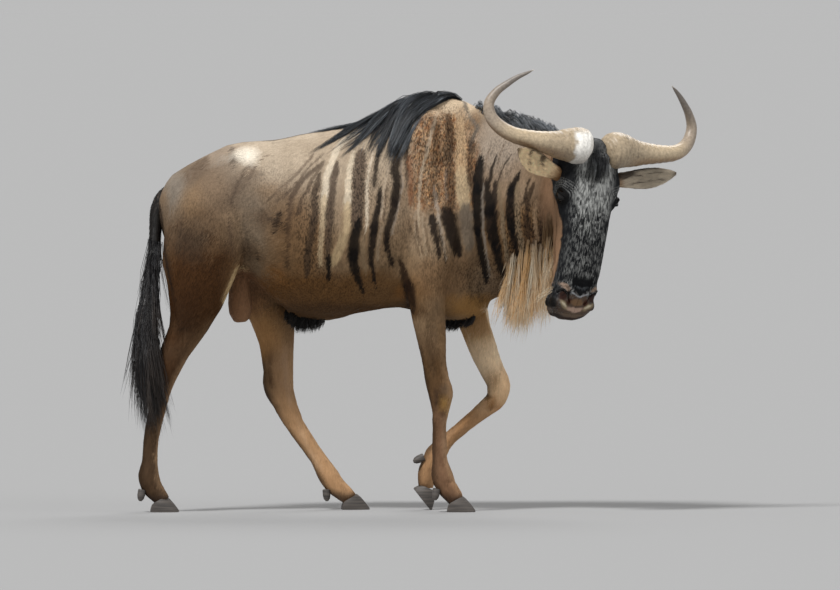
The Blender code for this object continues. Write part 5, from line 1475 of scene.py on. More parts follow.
def thin_out(item, triangles, weights):
    """Collapses edges down to a number of triangles, keeping more of them where the weights are low."""
    weigh(item, weights, 2)
    item.data.calc_loop_triangles()
    thin = item.modifiers.new("Decimate", "DECIMATE")
    thin.ratio = min(triangles / len(item.data.loop_triangles), 1.0)
    thin.vertex_group = "weights"
    thin.vertex_group_factor = .5
    apply_modifiers(item)
    item.vertex_groups.clear()


def edit(item, operator):
    """Runs one bmesh operator on all the faces."""
    bm = bmesh.new()
    bm.from_mesh(item.data)
    operator(bm, faces=bm.faces)
    bm.to_mesh(item.data)
    bm.free()


def fuse(item, operation, tools):
    """Joins or cuts with closed shapes one after the other."""
    for tool in tools:
        step = item.modifiers.new(operation.title(), "BOOLEAN")
        step.operation = operation
        step.solver = "MANIFOLD"
        step.object = tool
        apply_modifiers(item)
        discard(tool)


def unwrap(item):
    bpy.context.view_layer.objects.active = item
    item.select_set(True)
    item.data.uv_layers.new(name="OFBake")
    bpy.ops.object.mode_set(mode="EDIT")
    bpy.ops.mesh.select_all(action="SELECT")
    bpy.ops.uv.smart_project(angle_limit=math.radians(70), island_margin=.0005)
    bpy.ops.object.mode_set(mode="OBJECT")
    item.select_set(False)


def paint_attribute(mesh, colours):
    """Stores one colour for each vertex, and in its alpha how clear of flecks the coat is."""
    store = mesh.attributes.new("Coat", "FLOAT_COLOR", "POINT")
    full = np.ones((len(colours), 4), np.float32)
    full[:, :colours.shape[1]] = colours
    store.data.foreach_set("color", full.ravel())


BODY_SMOOTHING, SMOOTHING, LID_SMOOTHING = 60, 6, 3  # passes on the body, on everything and round the eyes


def build_skin(values):
    bm = flesh_shape()
    loft_hanging(bm, SCROTUM, 24, 4)
    skin = make_object("hide", bm)
    remesh(skin, values.voxel)
    points = points_of(skin.data)
    head, limbs = head_shares(points), limb_shares(points)
    smooth_where(skin, np.clip(1 - head - limbs, 0, 1), BODY_SMOOTHING)
    smooth_where(skin, np.ones(len(points)), SMOOTHING)
    sculpt(skin)
    points = points_of(skin.data)
    head, limbs = head_shares(points), limb_shares(points)
    striped = ramp(points[:, 0], -.42, -.34) * ramp(points[:, 2], .66, .74) * (1 - head)
    thin_out(skin, values.triangles, 1.0 - .85 * head - .1 * limbs * (1 - head) - .55 * striped)
    for side in ("left", "right"):
        fuse(skin, "UNION", lid_bars(side) + [nostril_bar(side, NOSTRIL_ROLL, .001, RIM_SIZES, 5)])
    points = points_of(skin.data)
    smooth_where(skin, .8 * ramp(-eye_gaps(points), -.04, -.03), LID_SMOOTHING)
    for side in ("left", "right"):
        fuse(skin, "DIFFERENCE", [make_object("eye room", ball_in_socket(side, EYE_RADIUS + .0003)),
            nostril_bar(side, 0, 0, NOSTRIL_SIZES, 8)])
    fuse(skin, "DIFFERENCE", [make_object("mouth", mouth_cutter())])
    refine_face(skin)
    sculpt_face(skin)
    edit(skin, bmesh.ops.recalc_face_normals)
    skin.data.shade_smooth()
    unwrap(skin)
    return skin


def remember(item):
    """The arrays of a finished surface, on which tufts are set."""
    mesh = item.data
    corners = np.empty(len(mesh.loops), np.int32)
    mesh.loops.foreach_get("vertex_index", corners)
    unwrap_at = np.empty(len(mesh.loops) * 2, np.float32)
    mesh.uv_layers["OFBake"].data.foreach_get("uv", unwrap_at)
    ground = {"points": points_of(mesh), "normals": normals_of(mesh), "corners": corners.reshape(-1, 3),
        "unwrap": unwrap_at.reshape(-1, 3, 2), "tree": surface(item)}
    triangles = ground["points"][ground["corners"]]
    ground["middles"] = triangles.mean(axis=1)
    ground["areas"] = np.linalg.norm(np.cross(triangles[:, 1] - triangles[:, 0],
        triangles[:, 2] - triangles[:, 0]), axis=1) / 2
    return ground


def settle(item, look, slot, *nodes):
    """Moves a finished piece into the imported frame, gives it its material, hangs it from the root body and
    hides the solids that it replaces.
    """
    item.data.transform(Matrix.Translation(FRAME_SHIFT))
    item.data.materials.clear()
    item.data.materials.append(look)
    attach(item, "root")
    if nodes:
        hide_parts(*nodes)


# ---- hair
def scatter(ground, count, weights, rng):
    """Roots over a surface in proportion to area and weight: places, ways out, places on the unwrap."""
    odds = ground["areas"] * weights
    chosen = rng.choice(len(odds), count, p=odds / odds.sum())
    first, second = rng.random(count), rng.random(count)
    flip = first + second > 1
    first[flip], second[flip] = 1 - first[flip], 1 - second[flip]
    shares = np.stack((1 - first - second, first, second), axis=1)
    corners = ground["corners"][chosen]
    places = np.einsum("ni,nij->nj", shares, ground["points"][corners])
    outs = unit(np.einsum("ni,nij->nj", shares, ground["normals"][corners]))
    marks = np.einsum("ni,nij->nj", shares, ground["unwrap"][chosen])
    return places, outs, marks


def root_marks(ground, places):
    """The place on the unwrap nearest to each root."""
    found = []
    for place in places:
        index = ground["tree"].find_nearest(Vector(place))[2]
        found.append(ground["unwrap"][index].mean(axis=0))
    return np.array(found)


def lie_of(places, outs):
    """The way the coat lies: back and down the body, down the legs, down the face and round the eyes."""
    head = head_shares(places)[:, None]
    limbs = limb_shares(places)[:, None]
    x = places[:, 0]
    drop = .5 + 2.2 * ramp(x, -.42, -.28) + .9 * ramp(-x, .45, .75)
    flow = np.stack((-np.ones(len(x)), np.zeros(len(x)), -drop), axis=1)
    flow = unit(flow) * (1 - limbs) + np.array([-.25, 0.0, -1.0]) * limbs
    fan = np.clip(head_parts(places)[1] / .09, -1, 1)[:, None] * np.array(LEFT) * .35
    flow = flow * (1 - head) + (np.array(NOSE) - .15 * np.array(BROW) + fan) * head
    return unit(flow - outs * np.sum(flow * outs, axis=1, keepdims=True))


def mesh_from(name, points, faces, colours, marks, shading=None):
    """A piece of triangles with the coat's colours, its places on the unwrap and, if given, its normals."""
    mesh = bpy.data.meshes.new(name)
    mesh.vertices.add(len(points))
    mesh.vertices.foreach_set("co", points.astype(np.float32).ravel())
    mesh.loops.add(len(faces) * 3)
    mesh.loops.foreach_set("vertex_index", faces.astype(np.int32).ravel())
    mesh.polygons.add(len(faces))
    mesh.polygons.foreach_set("loop_start", np.arange(len(faces), dtype=np.int32) * 3)
    mesh.update(calc_edges=True)
    layer = mesh.uv_layers.new(name="OFBake")
    layer.data.foreach_set("uv", marks[faces.ravel()].astype(np.float32).ravel())
    paint_attribute(mesh, colours)
    mesh.shade_smooth()
    if shading is not None:
        mesh.normals_split_custom_set_from_vertices(shading)
    made = bpy.data.objects.new(name, mesh)
    bpy.context.collection.objects.link(made)
    return made


MARK = .0015  # half the size of a tuft's patch on the unwrap
SPIKE_FACES = np.array([(0, 2, 3), (1, 3, 2), (0, 3, 1), (0, 1, 2)])


def tufts(name, roots, ways, sizes, lift, colours, ground, rng, contrast=.08):
    """Short flat tufts: closed three-sided spikes that lie along the coat and are lit as the skin is."""
    places, outs, marks = roots
    lengths, halves = sizes
    sides = np.cross(outs, ways)
    ways = unit(ways + sides * rng.normal(0, .16, len(places))[:, None])
    sides = np.cross(outs, ways)
    lifts = lift * rng.uniform(.4, 1.5, len(places)) * lengths
    tips = places + ways * lengths[:, None]
    for index, tip in enumerate(tips):
        near, out = ground["tree"].find_nearest(Vector(tip))[:2]
        tips[index] = near + out * lifts[index]
    halves = halves[:, None]
    sunk = places - outs * .0008
    points = np.stack((sunk + sides * halves, sunk - sides * halves, places + outs * halves * .5, tips),
        axis=1)
    shade = 1 + rng.normal(0, contrast, (len(places), 1, 1))
    shade = np.array([.94, .94, .98, 1.05])[None, :, None] * shade
    tints = np.repeat(colours[:, None, :], 4, axis=1)
    tints[:, :, :3] = np.clip(tints[:, :, :3] * shade, .002, .95)
    lit = unit(np.stack((outs + sides * .3, outs - sides * .3, outs, outs + ways * .15), axis=1))
    offsets = np.array([(MARK, 0), (-MARK, 0), (0, MARK * .6), (0, MARK * 2)])
    marks = marks[:, None, :] + offsets[None]
    faces = SPIKE_FACES[None] + (np.arange(len(places)) * 4)[:, None, None]
    return mesh_from(name, points.reshape(-1, 3), faces.reshape(-1, 3), tints.reshape(-1, colours.shape[1]),
        marks.reshape(-1, 2), lit.reshape(-1, 3))


def strands(name, paths, ups, halves, colours, marks, fade):
    """Long hair: closed three-sided strands along paths of equal numbers of points."""
    count, steps = paths.shape[:2]
    along = unit(np.gradient(paths, axis=1))
    sides = unit(np.cross(along, ups))
    over = np.cross(sides, along)
    share = np.linspace(0, 1, steps)[None, :, None]
    wide = halves[:, None, None] * (.55 + .45 * np.minimum(share * 4, 1)) * (1 - share ** 2.5)
    rings = np.stack((paths - sides * wide, paths + sides * wide, paths + over * wide * .7), axis=2)[:, :-1]
    points = np.concatenate((rings.reshape(count, -1, 3), paths[:, -1:]), axis=1)
    size = points.shape[1]
    faces = [(0, 1, 2)]
    for step in range(steps - 2):
        base = step * 3
        for first, second in ((0, 1), (1, 2), (2, 0)):
            faces.append((base + first, base + 3 + first, base + 3 + second))
            faces.append((base + first, base + 3 + second, base + second))
    base = (steps - 2) * 3
    faces += [(base + first, size - 1, base + second) for first, second in ((0, 1), (1, 2), (2, 0))]
    faces = np.array(faces)[None] + (np.arange(count) * size)[:, None, None]
    tone = np.concatenate((np.repeat(np.linspace(0, 1, steps)[:-1], 3), [1.0])) ** fade
    tints = colours[0][:, None, :] * (1 - tone[None, :, None]) + colours[1][:, None, :] * tone[None, :, None]
    spots = marks[:, None, :] + np.stack((np.tile([MARK, -MARK, 0.0], steps)[:size], tone * MARK * 2),
        axis=1)[None]
    return mesh_from(name, points.reshape(-1, 3), faces.reshape(-1, 3), tints.reshape(-1, 3),
        spots.reshape(-1, 2))


def clump(line, over, tone, vary, hairs, spread, wave, rng):
    """Fine strands round the middle line of a clump that come together towards its tip, and their tones."""
    across = unit(np.cross(np.gradient(line, axis=0), over))
    share = np.linspace(0, 1, len(line))[:, None]
    made = []
    for _ in range(hairs):
        wide = rng.normal(0, spread) * (1 - .6 * share)
        high = abs(rng.normal(0, spread * .35)) * (1 - .3 * share) * np.minimum(share * 5, 1)
        bend = wave * np.sin(share * rng.uniform(3, 7) + rng.uniform(0, 6)) * share
        reach = 1 - (1 - rng.uniform(.72, 1.0)) * share
        made.append(line[:1] + (line - line[:1]) * reach + across * (wide + bend) + over * high)
    return [(path, over, np.clip(tone + rng.normal(0, vary), 0, 1)) for path in made]


def gathered(made):
    """Paths, upper sides and tones of all the strands as arrays."""
    return tuple(np.array(rows) for rows in zip(*made))


def comb(rows, start, clumps, hairs, rng, tree, spread=.009, wave=.004):
    """Strands that follow the same rows as the solids' locks, many clumps of fine hair to each lock."""
    made = []
    for row in rows:
        for _ in range(row["count"] * clumps):
            share = rng.random()
            along = row["start"] + (row["end"] - row["start"]) * share
            root, out = start(tree, along, row["aside"] + rng.uniform(-1, 1) * row.get("scatter", .02))
            if root is None:
                continue
            sway = Vector(rng.normal(0, .1, 3))
            full = row["short"] + (1 - row["short"]) * math.sin(math.pi * (.12 + .76 * share))
            lock = {"heading": Vector(row["heading"]) + sway, "lie": Vector(row["lie"]) + sway,
                "length": row["length"] * full * rng.uniform(.8, 1.06),
                "lift": row["lift"] * rng.uniform(.3, 1.0), "hug": row.get("hug", 0.0)}
            points, sides = lock_path(tree, root, out, lock)
            line, over = np.array(points), unit(np.array(sides))
            tone = rng.random() ** 1.5
            made += clump(line, over, tone, .12, hairs, spread, wave, rng)
    return gathered(made)


def seen_from_side(tree, x, z, sign):
    """The skin's point seen from one side at x and z, or the crest above x where the skin is lower."""
    spot, out = tree.ray_cast(Vector((x, sign, z)), Vector((0, -sign, 0)))[:2]
    if spot is None:
        spot, out = from_above(tree, x, sign * .006)
    return spot, out


def stream(rows, sign, hairs, rng, tree, spread=.0035, wave=.003):
    """Sleek hair that lies on the skin along lines seen from the side and comes together at their ends."""
    made = []
    for row in rows:
        line = np.array(row["line"])
        steps = np.concatenate(([0.0], np.cumsum(np.linalg.norm(np.diff(line, axis=0), axis=1))))
        for _ in range(row["clumps"]):
            begin, end = rng.uniform(0.0, row.get("late", .35)), rng.uniform(row.get("early", .7), 1.0)
            at = np.linspace(begin, end, STREAM_STEPS) * steps[-1]
            flat = np.stack([np.interp(at, steps, line[:, column]) for column in (0, 1)], axis=1)
            for _ in range(2):
                flat[1:-1] = (flat[:-2] + 2 * flat[1:-1] + flat[2:]) / 4
            ahead = unit(np.gradient(flat, axis=0))
            halves = np.interp(at / steps[-1], np.linspace(0, 1, len(row["half"])), row["half"])[:, None]
            aside = rng.uniform(-1, 1)
            flat = flat + np.stack((-ahead[:, 1], ahead[:, 0]), axis=1) * halves * aside
            points, outs = [], []
            for x, z in flat:
                spot, out = seen_from_side(tree, x, z, sign)
                if spot is None:
                    break
                points.append(spot)
                outs.append(out)
            if len(points) < STREAM_STEPS:
                continue
            share = np.linspace(0, 1, STREAM_STEPS)[:, None]
            height = (row["lift"] + row.get("rise", 0) * (1 - share) ** 1.5) * rng.uniform(.15, 1.0)
            height = height * (1 - .55 * share) * np.minimum(share * 4 + .15, 1)
            over = unit(np.array(outs))
            body = np.array(points) + over * height
            for _ in range(2):
                body[1:-1] = (body[:-2] + 2 * body[1:-1] + body[2:]) / 4
                over[1:-1] = unit(over[:-2] + 2 * over[1:-1] + over[2:])
            tone = rng.random() ** row.get("dark", 3.0)
            made += clump(body, over, tone, .12, row.get("hairs", hairs), row.get("spread", spread),
                wave, rng)
    return gathered(made)


def hair_piece(name, combed, half, root_colours, tip_colours, rng, ground, fade=1.0):
    """A piece of long hair whose clumps vary between two root colours and two tip colours."""
    paths, ups, tones = combed
    pick = tones[:, None]
    pairs = [[np.array(linear(code)) for code in codes.split()] for codes in (root_colours, tip_colours)]
    ends = [one * (1 - pick) + other * pick for one, other in pairs]
    halves = half * rng.uniform(.6, 1.25, len(paths))
    return strands(name, paths, ups, halves, ends, root_marks(ground, paths[:, 1]), fade)


STREAM_STEPS = 7
# Streams of hair on the withers that fall behind the shoulder, seen from the side: their line, its half
# widths from root to tip, clumps, height over the skin, and how much higher the roots rise
WITHERS = [
    flow(line="126,1344 56,1328 -2,1290 -37,1238 -62,1187 -85,1130 -94,1104", half="20 34 28 14 6",
        clumps=120, lift=.014, rise=.03),
    flow(line="88,1347 8,1331 -46,1296 -78,1245 -101,1187 -120,1136 -133,1085", half="22 22 12 5 2",
        clumps=44, lift=.01, rise=.03),
    flow(line="24,1344 -40,1325 -88,1290 -123,1245 -155,1200 -200,1155 -248,1114", half="20 20 11 5 2",
        clumps=36, lift=.008, rise=.024),
    flow(line="-24,1334 -82,1306 -133,1270 -187,1229 -254,1187 -315,1149 -350,1130", half="16 16 9 4 2",
        clumps=30, lift=.007, rise=.016),
    flow(line="-56,1325 -110,1293 -168,1254 -229,1229 -296,1213 -360,1203", half="14 14 8 4 2", clumps=34,
        lift=.006),
    flow(line="158,1347 126,1341 88,1325 50,1299 11,1261", half="10 14 12 8 4", clumps=46, lift=.014,
        rise=.026),
    flow(line="-8,1315 -40,1264 -53,1213 -66,1162", half="26 26 14 6", clumps=60, lift=.012),
    flow(line="10,1335 -70,1290 -120,1225 -150,1165 -170,1110", half="40 50 50 40 30", clumps=120, lift=.005,
        hairs=3, spread=.005, early=.5),
    flow(line="-40,1330 -110,1285 -180,1230 -240,1180 -300,1135", half="30 40 40 30 20", clumps=110,
        lift=.004, hairs=3, spread=.005, early=.45),
    flow(line="60,1335 5,1280 -25,1215 -50,1150 -80,1080", half="30 30 26 20 16", clumps=90, lift=.006,
        hairs=4, spread=.004, early=.6),
]
# Hair that fans down the near side of the neck from its crest
NECK_FAN = [
    flow(line="270,1325 318,1308 360,1282 418,1238", half="10 12 16", clumps=30, lift=.012, dark=.6),
    flow(line="280,1322 315,1290 350,1254 395,1213", half="10 16 20", clumps=36, lift=.012, dark=1.2),
    flow(line="280,1318 300,1280 320,1240 330,1200", half="12 18 18", clumps=34, lift=.01, dark=1.2),
    flow(line="250,1332 262,1296 270,1262 272,1220", half="14 16 12", clumps=26, lift=.01, dark=1.2),
    flow(line="272,1335 240,1342 214,1330 196,1300", half="8 12 10", clumps=26, lift=.012, dark=1),
]
# The jaw's fringe behind the cheek
JAW_FRINGE = [flow(line="432,960 434,900 430,840 420,780", half="8 12 18", clumps=22, lift=.006, dark=.8)]


def fall(rows, rng, hairs, tree, spread=.005, wave=.01):
    """Hair that leaves the skin and hangs: from a root line seen from the side down to a line of tips."""
    made = []
    for row in rows:
        roots, tips = np.array(row["roots"]), np.array(row["tips"])
        for _ in range(row["clumps"]):
            share = rng.random()
            x, z = (np.interp(share, np.linspace(0, 1, len(roots)), roots[:, column]) for column in (0, 1))
            tip_x, tip_z = (np.interp(share, np.linspace(0, 1, len(tips)), tips[:, column])
                for column in (0, 1))
            spot, out = seen_from_side(tree, x + rng.normal(0, .012), z + rng.normal(0, .036), row["sign"])
            if spot is None:
                continue
            middle = neck_line(x)
            tip = np.array([tip_x + rng.normal(0, .02), middle + (spot.y - middle) * row["keep"],
                tip_z + abs(rng.normal(0, .06))])
            start, out = np.array(spot), np.array(out)
            along = np.linspace(0, 1, STREAM_STEPS)[:, None]
            bulge = row["belly"] * np.sin(along * math.pi * .9)
            drop = np.array([0.0, 0.0, 1.0]) * (1 - along) * along * .02
            line = start * (1 - along) + tip * along + out * bulge + drop - out * .004 * (along == 0)
            tone = rng.random()
            over = np.tile(unit(np.array([out[0] * .3, out[1], 0.0])), (STREAM_STEPS, 1))
            made += clump(line, over, tone, .15, hairs, spread, wave, rng)
    return gathered(made)


# The beard: roots along the throat and tips below it, from back to front, on each side and in the middle
BEARD_FALLS = [
    flow(roots="305,740 325,785 355,815 395,835 445,830", tips="300,640 312,545 335,530 385,545 440,590",
        clumps=130, sign=-1, keep=.45, belly=.008),
    flow(roots="295,740 320,785 355,815 395,835 445,830", tips="295,640 310,560 335,545 385,555 435,600",
        clumps=80, sign=1, keep=.45, belly=.008),
    flow(roots="305,720 325,742 350,755 390,760 445,750", tips="300,640 312,545 335,525 385,540 435,590",
        clumps=110, sign=-1, keep=.3, belly=.004),
]


# ---- materials
def join(tree, node, **links):
    for socket, source in links.items():
        tree.links.new(source, node.inputs[socket.replace("_", " ")])


def add_node(tree, kind, settings=None, **links):
    """Adds a node, sets its fields and constant inputs, and links inputs to other nodes' outputs."""
    node = tree.nodes.new("ShaderNode" + kind)
    for field, value in (settings or {}).items():
        if isinstance(field, int) or field in node.inputs:
            node.inputs[field].default_value = value
        else:
            setattr(node, field, value)
    join(tree, node, **links)
    return node


def new_material(name, roughness, colour=None, **fields):
    made = bpy.data.materials.new(name)
    made.use_nodes = True
    shader = made.node_tree.nodes["Principled BSDF"]
    if colour:
        fields["Base_Color"] = (*colour, 1)
    for field, value in {"Roughness": roughness, **fields}.items():
        shader.inputs[field.replace("_", " ")].default_value = value
    return made, made.node_tree, shader


def flecked(tree):
    """The stored colour, with flecks of dark hair where the stored alpha is low."""
    paint = add_node(tree, "Attribute", {"attribute_name": "Coat"})
    place = add_node(tree, "TexCoord")
    # flecks about 4 mm wide and 11 mm long
    stretch = add_node(tree, "Mapping", {"Rotation": (0, math.radians(-8), 0), "Scale": (230, 230, 90)},
        Vector=place.outputs["Object"])
    dots = add_node(tree, "TexNoise", {"Scale": 1.0, "Detail": 2.0}, Vector=stretch.outputs["Vector"])
    dark = add_node(tree, "MapRange", {"From Min": .46, "From Max": .6, "To Min": 0.0, "To Max": .78},
        Value=dots.outputs["Fac"])
    share = add_node(tree, "MapRange", {"To Min": 1.0, "To Max": 0.0}, Value=paint.outputs["Alpha"])
    loss = add_node(tree, "Math", {"operation": "MULTIPLY"})
    tree.links.new(dark.outputs["Result"], loss.inputs[0])
    tree.links.new(share.outputs["Result"], loss.inputs[1])
    kept = add_node(tree, "Math", {"operation": "SUBTRACT", 0: 1.0})
    tree.links.new(loss.outputs["Value"], kept.inputs[1])
    mixed = add_node(tree, "VectorMath", {"operation": "SCALE"}, Vector=paint.outputs["Color"],
        Scale=kept.outputs["Value"])
    return mixed.outputs["Vector"], place


def grain_on(tree, shader, paint, grain, tones, strength, depth):
    """Lets a grain lighten and darken the paint and raise the surface."""
    tone = add_node(tree, "MapRange", tones, Value=grain.outputs["Fac"])
    mixed = add_node(tree, "VectorMath", {"operation": "SCALE"}, Vector=paint, Scale=tone.outputs["Result"])
    bump = add_node(tree, "Bump", {"Strength": strength, "Distance": depth}, Height=grain.outputs["Fac"])
    join(tree, shader, Base_Color=mixed.outputs["Vector"], Normal=bump.outputs["Normal"])


def hide_material():
    """Short glossy hair over hide: fine streaks down the body that catch the light."""
    made, tree, shader = new_material("short coat over hide", .65, Specular_IOR_Level=.12)
    paint, place = flecked(tree)
    # hairs about 4 mm apart and 30 mm long, as the short coat reads from a few steps away
    stretch = add_node(tree, "Mapping", {"Rotation": (0, math.radians(-12), 0), "Scale": (240, 240, 34)},
        Vector=place.outputs["Object"])
    fine = add_node(tree, "TexNoise", {"Scale": 1.0, "Detail": 3.0}, Vector=stretch.outputs["Vector"])
    grain_on(tree, shader, paint, fine, {"To Min": .78, "To Max": 1.2}, .45, .0015)
    return made


def hair_material(name, roughness, gloss):
    """Hair coloured strand by strand, with the soft gloss of clean keratin."""
    made, tree, shader = new_material(name, roughness, Specular_IOR_Level=gloss)
    join(tree, shader, Base_Color=flecked(tree)[0])
    return made


def horn_material():
    """Weathered horn: tan keratin with fine cracks and dark flecks, a little polished."""
    made, tree, shader = new_material("weathered horn", .46, Coat_Weight=.1, Coat_Roughness=.35)
    paint = add_node(tree, "Attribute", {"attribute_name": "Coat"})
    place = add_node(tree, "TexCoord")
    # cracks and flecks about 7 mm apart
    grain = add_node(tree, "TexNoise", {"Scale": 140.0, "Detail": 5.0}, Vector=place.outputs["Object"])
    grain_on(tree, shader, paint.outputs["Color"], grain,
        {"From Min": .3, "From Max": .7, "To Min": .74, "To Max": 1.14}, .4, .0012)
    return made


def hoof_material():
    """Dry grey hoof horn with growth lines parallel to the crown."""
    made, tree, shader = new_material("dry hoof horn", .6)
    place = add_node(tree, "TexCoord")
    # growth lines about 2.4 mm apart
    stretch = add_node(tree, "Mapping", {"Scale": (12, 12, 420)}, Vector=place.outputs["Object"])
    lines = add_node(tree, "TexNoise", {"Scale": 1.0, "Detail": 3.0}, Vector=stretch.outputs["Vector"])
    bands = add_node(tree, "ValToRGB", None, Fac=lines.outputs["Fac"])
    for stop, at, colour in zip(bands.color_ramp.elements, (.3, .7), ("2d2a28", "5e5751")):
        stop.position = at
        stop.color = (*linear(colour), 1)
    bump = add_node(tree, "Bump", {"Strength": .4, "Distance": .001}, Height=lines.outputs["Fac"])
    join(tree, shader, Base_Color=bands.outputs["Color"], Normal=bump.outputs["Normal"])
    return made


# ---- operators
class SkinOperator(bpy.types.Operator):
    """Builds one skin over all the flesh, with lids, nostrils and lips"""

    bl_idname = "wildebeest.skin"
    bl_label = "Build Skin"

    def execute(self, context):
        values = context.scene.wildebeest_hide
        skin = build_skin(values)
        paint_attribute(skin.data, coat_colour(points_of(skin.data), values))
        SKIN.update(remember(skin))
        settle(skin, hide_material(), "coat", *FLESH_NODES)
        return {"FINISHED"}


class EyeOperator(bpy.types.Operator):
    """Sets the eyes in their lids"""

    bl_idname = "wildebeest.eyes"
    bl_label = "Set Eyes"

    def execute(self, context):
        # A wet dark brown eye under a clear cornea, which gives one small sharp highlight
        look = new_material("wet dark eye", .06, linear("0f0a07"), Specular_IOR_Level=.35, Coat_Weight=.25,
            Coat_Roughness=.02)[0]
        for side in ("left", "right"):
            eye = make_object("eyeball_" + side, ball_in_socket(side, EYE_RADIUS))
            eye.data.shade_smooth()
            settle(eye, look, "eye", "eye_" + side)
        return {"FINISHED"}


class HornOperator(bpy.types.Operator):
    """Grows the horns from their bosses to their tips"""

    bl_idname = "wildebeest.horns"
    bl_label = "Grow Horns"

    def execute(self, context):
        look = horn_material()
        for side in ("left", "right"):
            sides = 48  # points round each section
            horn = make_object("horn_sheath_" + side, horn_shape(side, sides, 10))
            points, normals = points_of(horn.data), normals_of(horn.data)
            out = np.abs(head_parts(points)[1])
            along = (np.arange(len(points)) // sides) / (len(points) / sides)
            rings = np.sin(along * 170 + 2.5 * soft_noise(points, .05, 21)) * (1 - ramp(along, .42, .62))
            rough = soft_noise(points, .012, 22) * (1 - ramp(along, .2, .45))
            lumps = soft_noise(points, .035, 24) * (1 - ramp(along, .1, .4))
            middle = np.repeat(points.reshape(-1, sides, 3).mean(axis=1), sides, axis=0)
            points = middle + (points - middle) * (1 - HORN_TAPER * ramp(along, .48, .8))[:, None]
            rise = rings * .0005 + rough * .001 + lumps * .0014 - .001
            displace(horn, points, normals, rise)
            colours = plain(points, "a8967c")
            colours = blend_in(colours, (ramp(along, .26, .4), "bda98b"), (ramp(along, .48, .62), "9a8b7a"),
                (ramp(along, .66, .84), "7c746c"), (ramp(along, .95, 1.0), "d8d0c4"))
            # Painted shade: the downward faces of the lower bend are painted amber brown.
            low = ramp(-normals[:, 2], .15, .75) * ramp(along, .15, .3) * (1 - ramp(along, .6, .75))
            colours = blend_in(colours, (.65 * low, "7d5a36"))
            flecks = ramp(soft_noise(points, .0035, 25) + .5 * soft_noise(points, .009, 26), .45, .8)
            colours = blend_in(colours, (.55 * flecks * (1 - ramp(along, .25, .5)), "5d4c3b"))
            edge = .102 if side == "right" else -.1  # only the right boss is painted white, partly wear and partly a painted highlight
            wear_and_highlight = ramp(soft_noise(points, .016, 27) * .01 + edge - out, -.005, .005)
            wear_and_highlight = wear_and_highlight * (1 - ramp(normals[:, 2], .6, .9))
            colours = blend_in(colours, (wear_and_highlight * .95, "f2efe8"))
            # Painted shade under the boss, where it faces down.
            base = ramp(normals[:, 2], -.2, -.9) * (1 - ramp(along, .1, .35))
            colours = blend_in(colours, (.5 * base, "6b5a48"))
            paint_attribute(horn.data, colours)
            horn.data.shade_smooth()
            settle(horn, look, "horn", "horn_" + side)
        return {"FINISHED"}


class EarOperator(bpy.types.Operator):
    """Shapes the ears, with pale hair in the cup and a dark rim"""

    bl_idname = "wildebeest.ears"
    bl_label = "Shape Ears"

    def execute(self, context):
        rng = np.random.default_rng(SEED_COAT + 4)
        skin_look, hair_look = hide_material(), hair_material("ear hair", .55, .3)
        # The right cup is painted paler and warmer than the left, partly as painted light.
        cups = {"left": "c9bba6", "right": "ffe0b4"}

        def ear_colour(points, inner, side):
            root, axis, wide, faces = ear_frame(side)
            away = points - np.array(root)
            share = away @ np.array(axis) / axis.length_squared
            across = away @ np.array(wide) / .034
            grain = soft_noise(np.stack((share * .03, across * .034, points[:, 1] * .3), 1), .0035, 51)
            colours = plain(points, "6e5c4a")
            cup = ramp(inner, -.1, .35)
            colours = blend_in(colours, (cup * ramp(share, .06, .22), cups[side]),
                (.8 * cup * ramp(.26 - share, 0, .16), "9c7148"))
            ripple = np.sin(share * 21 + across * 2.5) if side == "right" else np.sin(across * 9 + share * 4)
            marks = ramp(grain + .8 * ripple, .45, 1.2) * ramp(share, .25, .4)
            colours = blend_in(colours, (.85 * cup * marks * ramp(.86 - share, 0, .1), "33251c"))
            if side == "left":
                # painted shade of a fold across one side of the cup near its base
                fold = ramp(-across + .25 * grain, -.1, .25) * ramp(.46 - share, 0, .12)
                colours = blend_in(colours, (.9 * cup * fold, "2a1d14"))
            colours = blend_in(colours, (.85 * cup * ramp(-across, .45, .85), "2f2620"),
                (.8 * ramp(share, .9, .99), "33271e"))
            return colours * (1 + .12 * grain)[:, None]

        for side in ("left", "right"):
            root, axis, wide, faces = ear_frame(side)
            ear = make_object("ear_leaf_" + side, ear_shape(side, 48, 6))
            points, normals = points_of(ear.data), normals_of(ear.data)
            paint_attribute(ear.data, ear_colour(points, normals @ np.array(faces), side))
            edit(ear, bmesh.ops.triangulate)
            ear.data.shade_smooth()
            unwrap(ear)
            ground = remember(ear)
            count = EAR_TUFTS
            places, outs, marks = scatter(ground, count, np.ones(len(ground["areas"])), rng)
            ways = np.array(axis.normalized()) + .25 * rng.normal(0, 1, (count, 3))
            ways = unit(ways - outs * np.sum(ways * outs, axis=1, keepdims=True))
            inner = outs @ np.array(faces)
            lengths = rng.uniform(.007, .013, count) * (1 + .6 * ramp(inner, .2, .8))
            halves = rng.uniform(.0003, .0006, count)
            piece = tufts("ear_hair_" + side, (places, outs, marks), ways, (lengths, halves), .15,
                ear_colour(places, inner, side), ground, rng, .14)
            settle(ear, skin_look, "coat", "ear_" + side)
            settle(piece, hair_look, "coat")
        return {"FINISHED"}


class HoofOperator(bpy.types.Operator):
    """Makes the cloven hooves and the dewclaws"""

    bl_idname = "wildebeest.hooves"
    bl_label = "Make Hooves"

    def execute(self, context):
        look = hoof_material()
        for limb in FEET:
            for outer in (True, False):
                place = limb + ("_outer" if outer else "_inner")
                claw = make_object("hoof_" + place, claw_shape(limb, outer, 32))
                stub = make_object("stub_" + place, dewclaw_shape(limb, outer, 20))
                for piece, node in ((claw, "claw_"), (stub, "dewclaw_")):
                    piece.data.shade_smooth()
                    piece.data.set_sharp_from_angle(angle=math.radians(40))
                    settle(piece, look, "hoof", node + place)
        return {"FINISHED"}


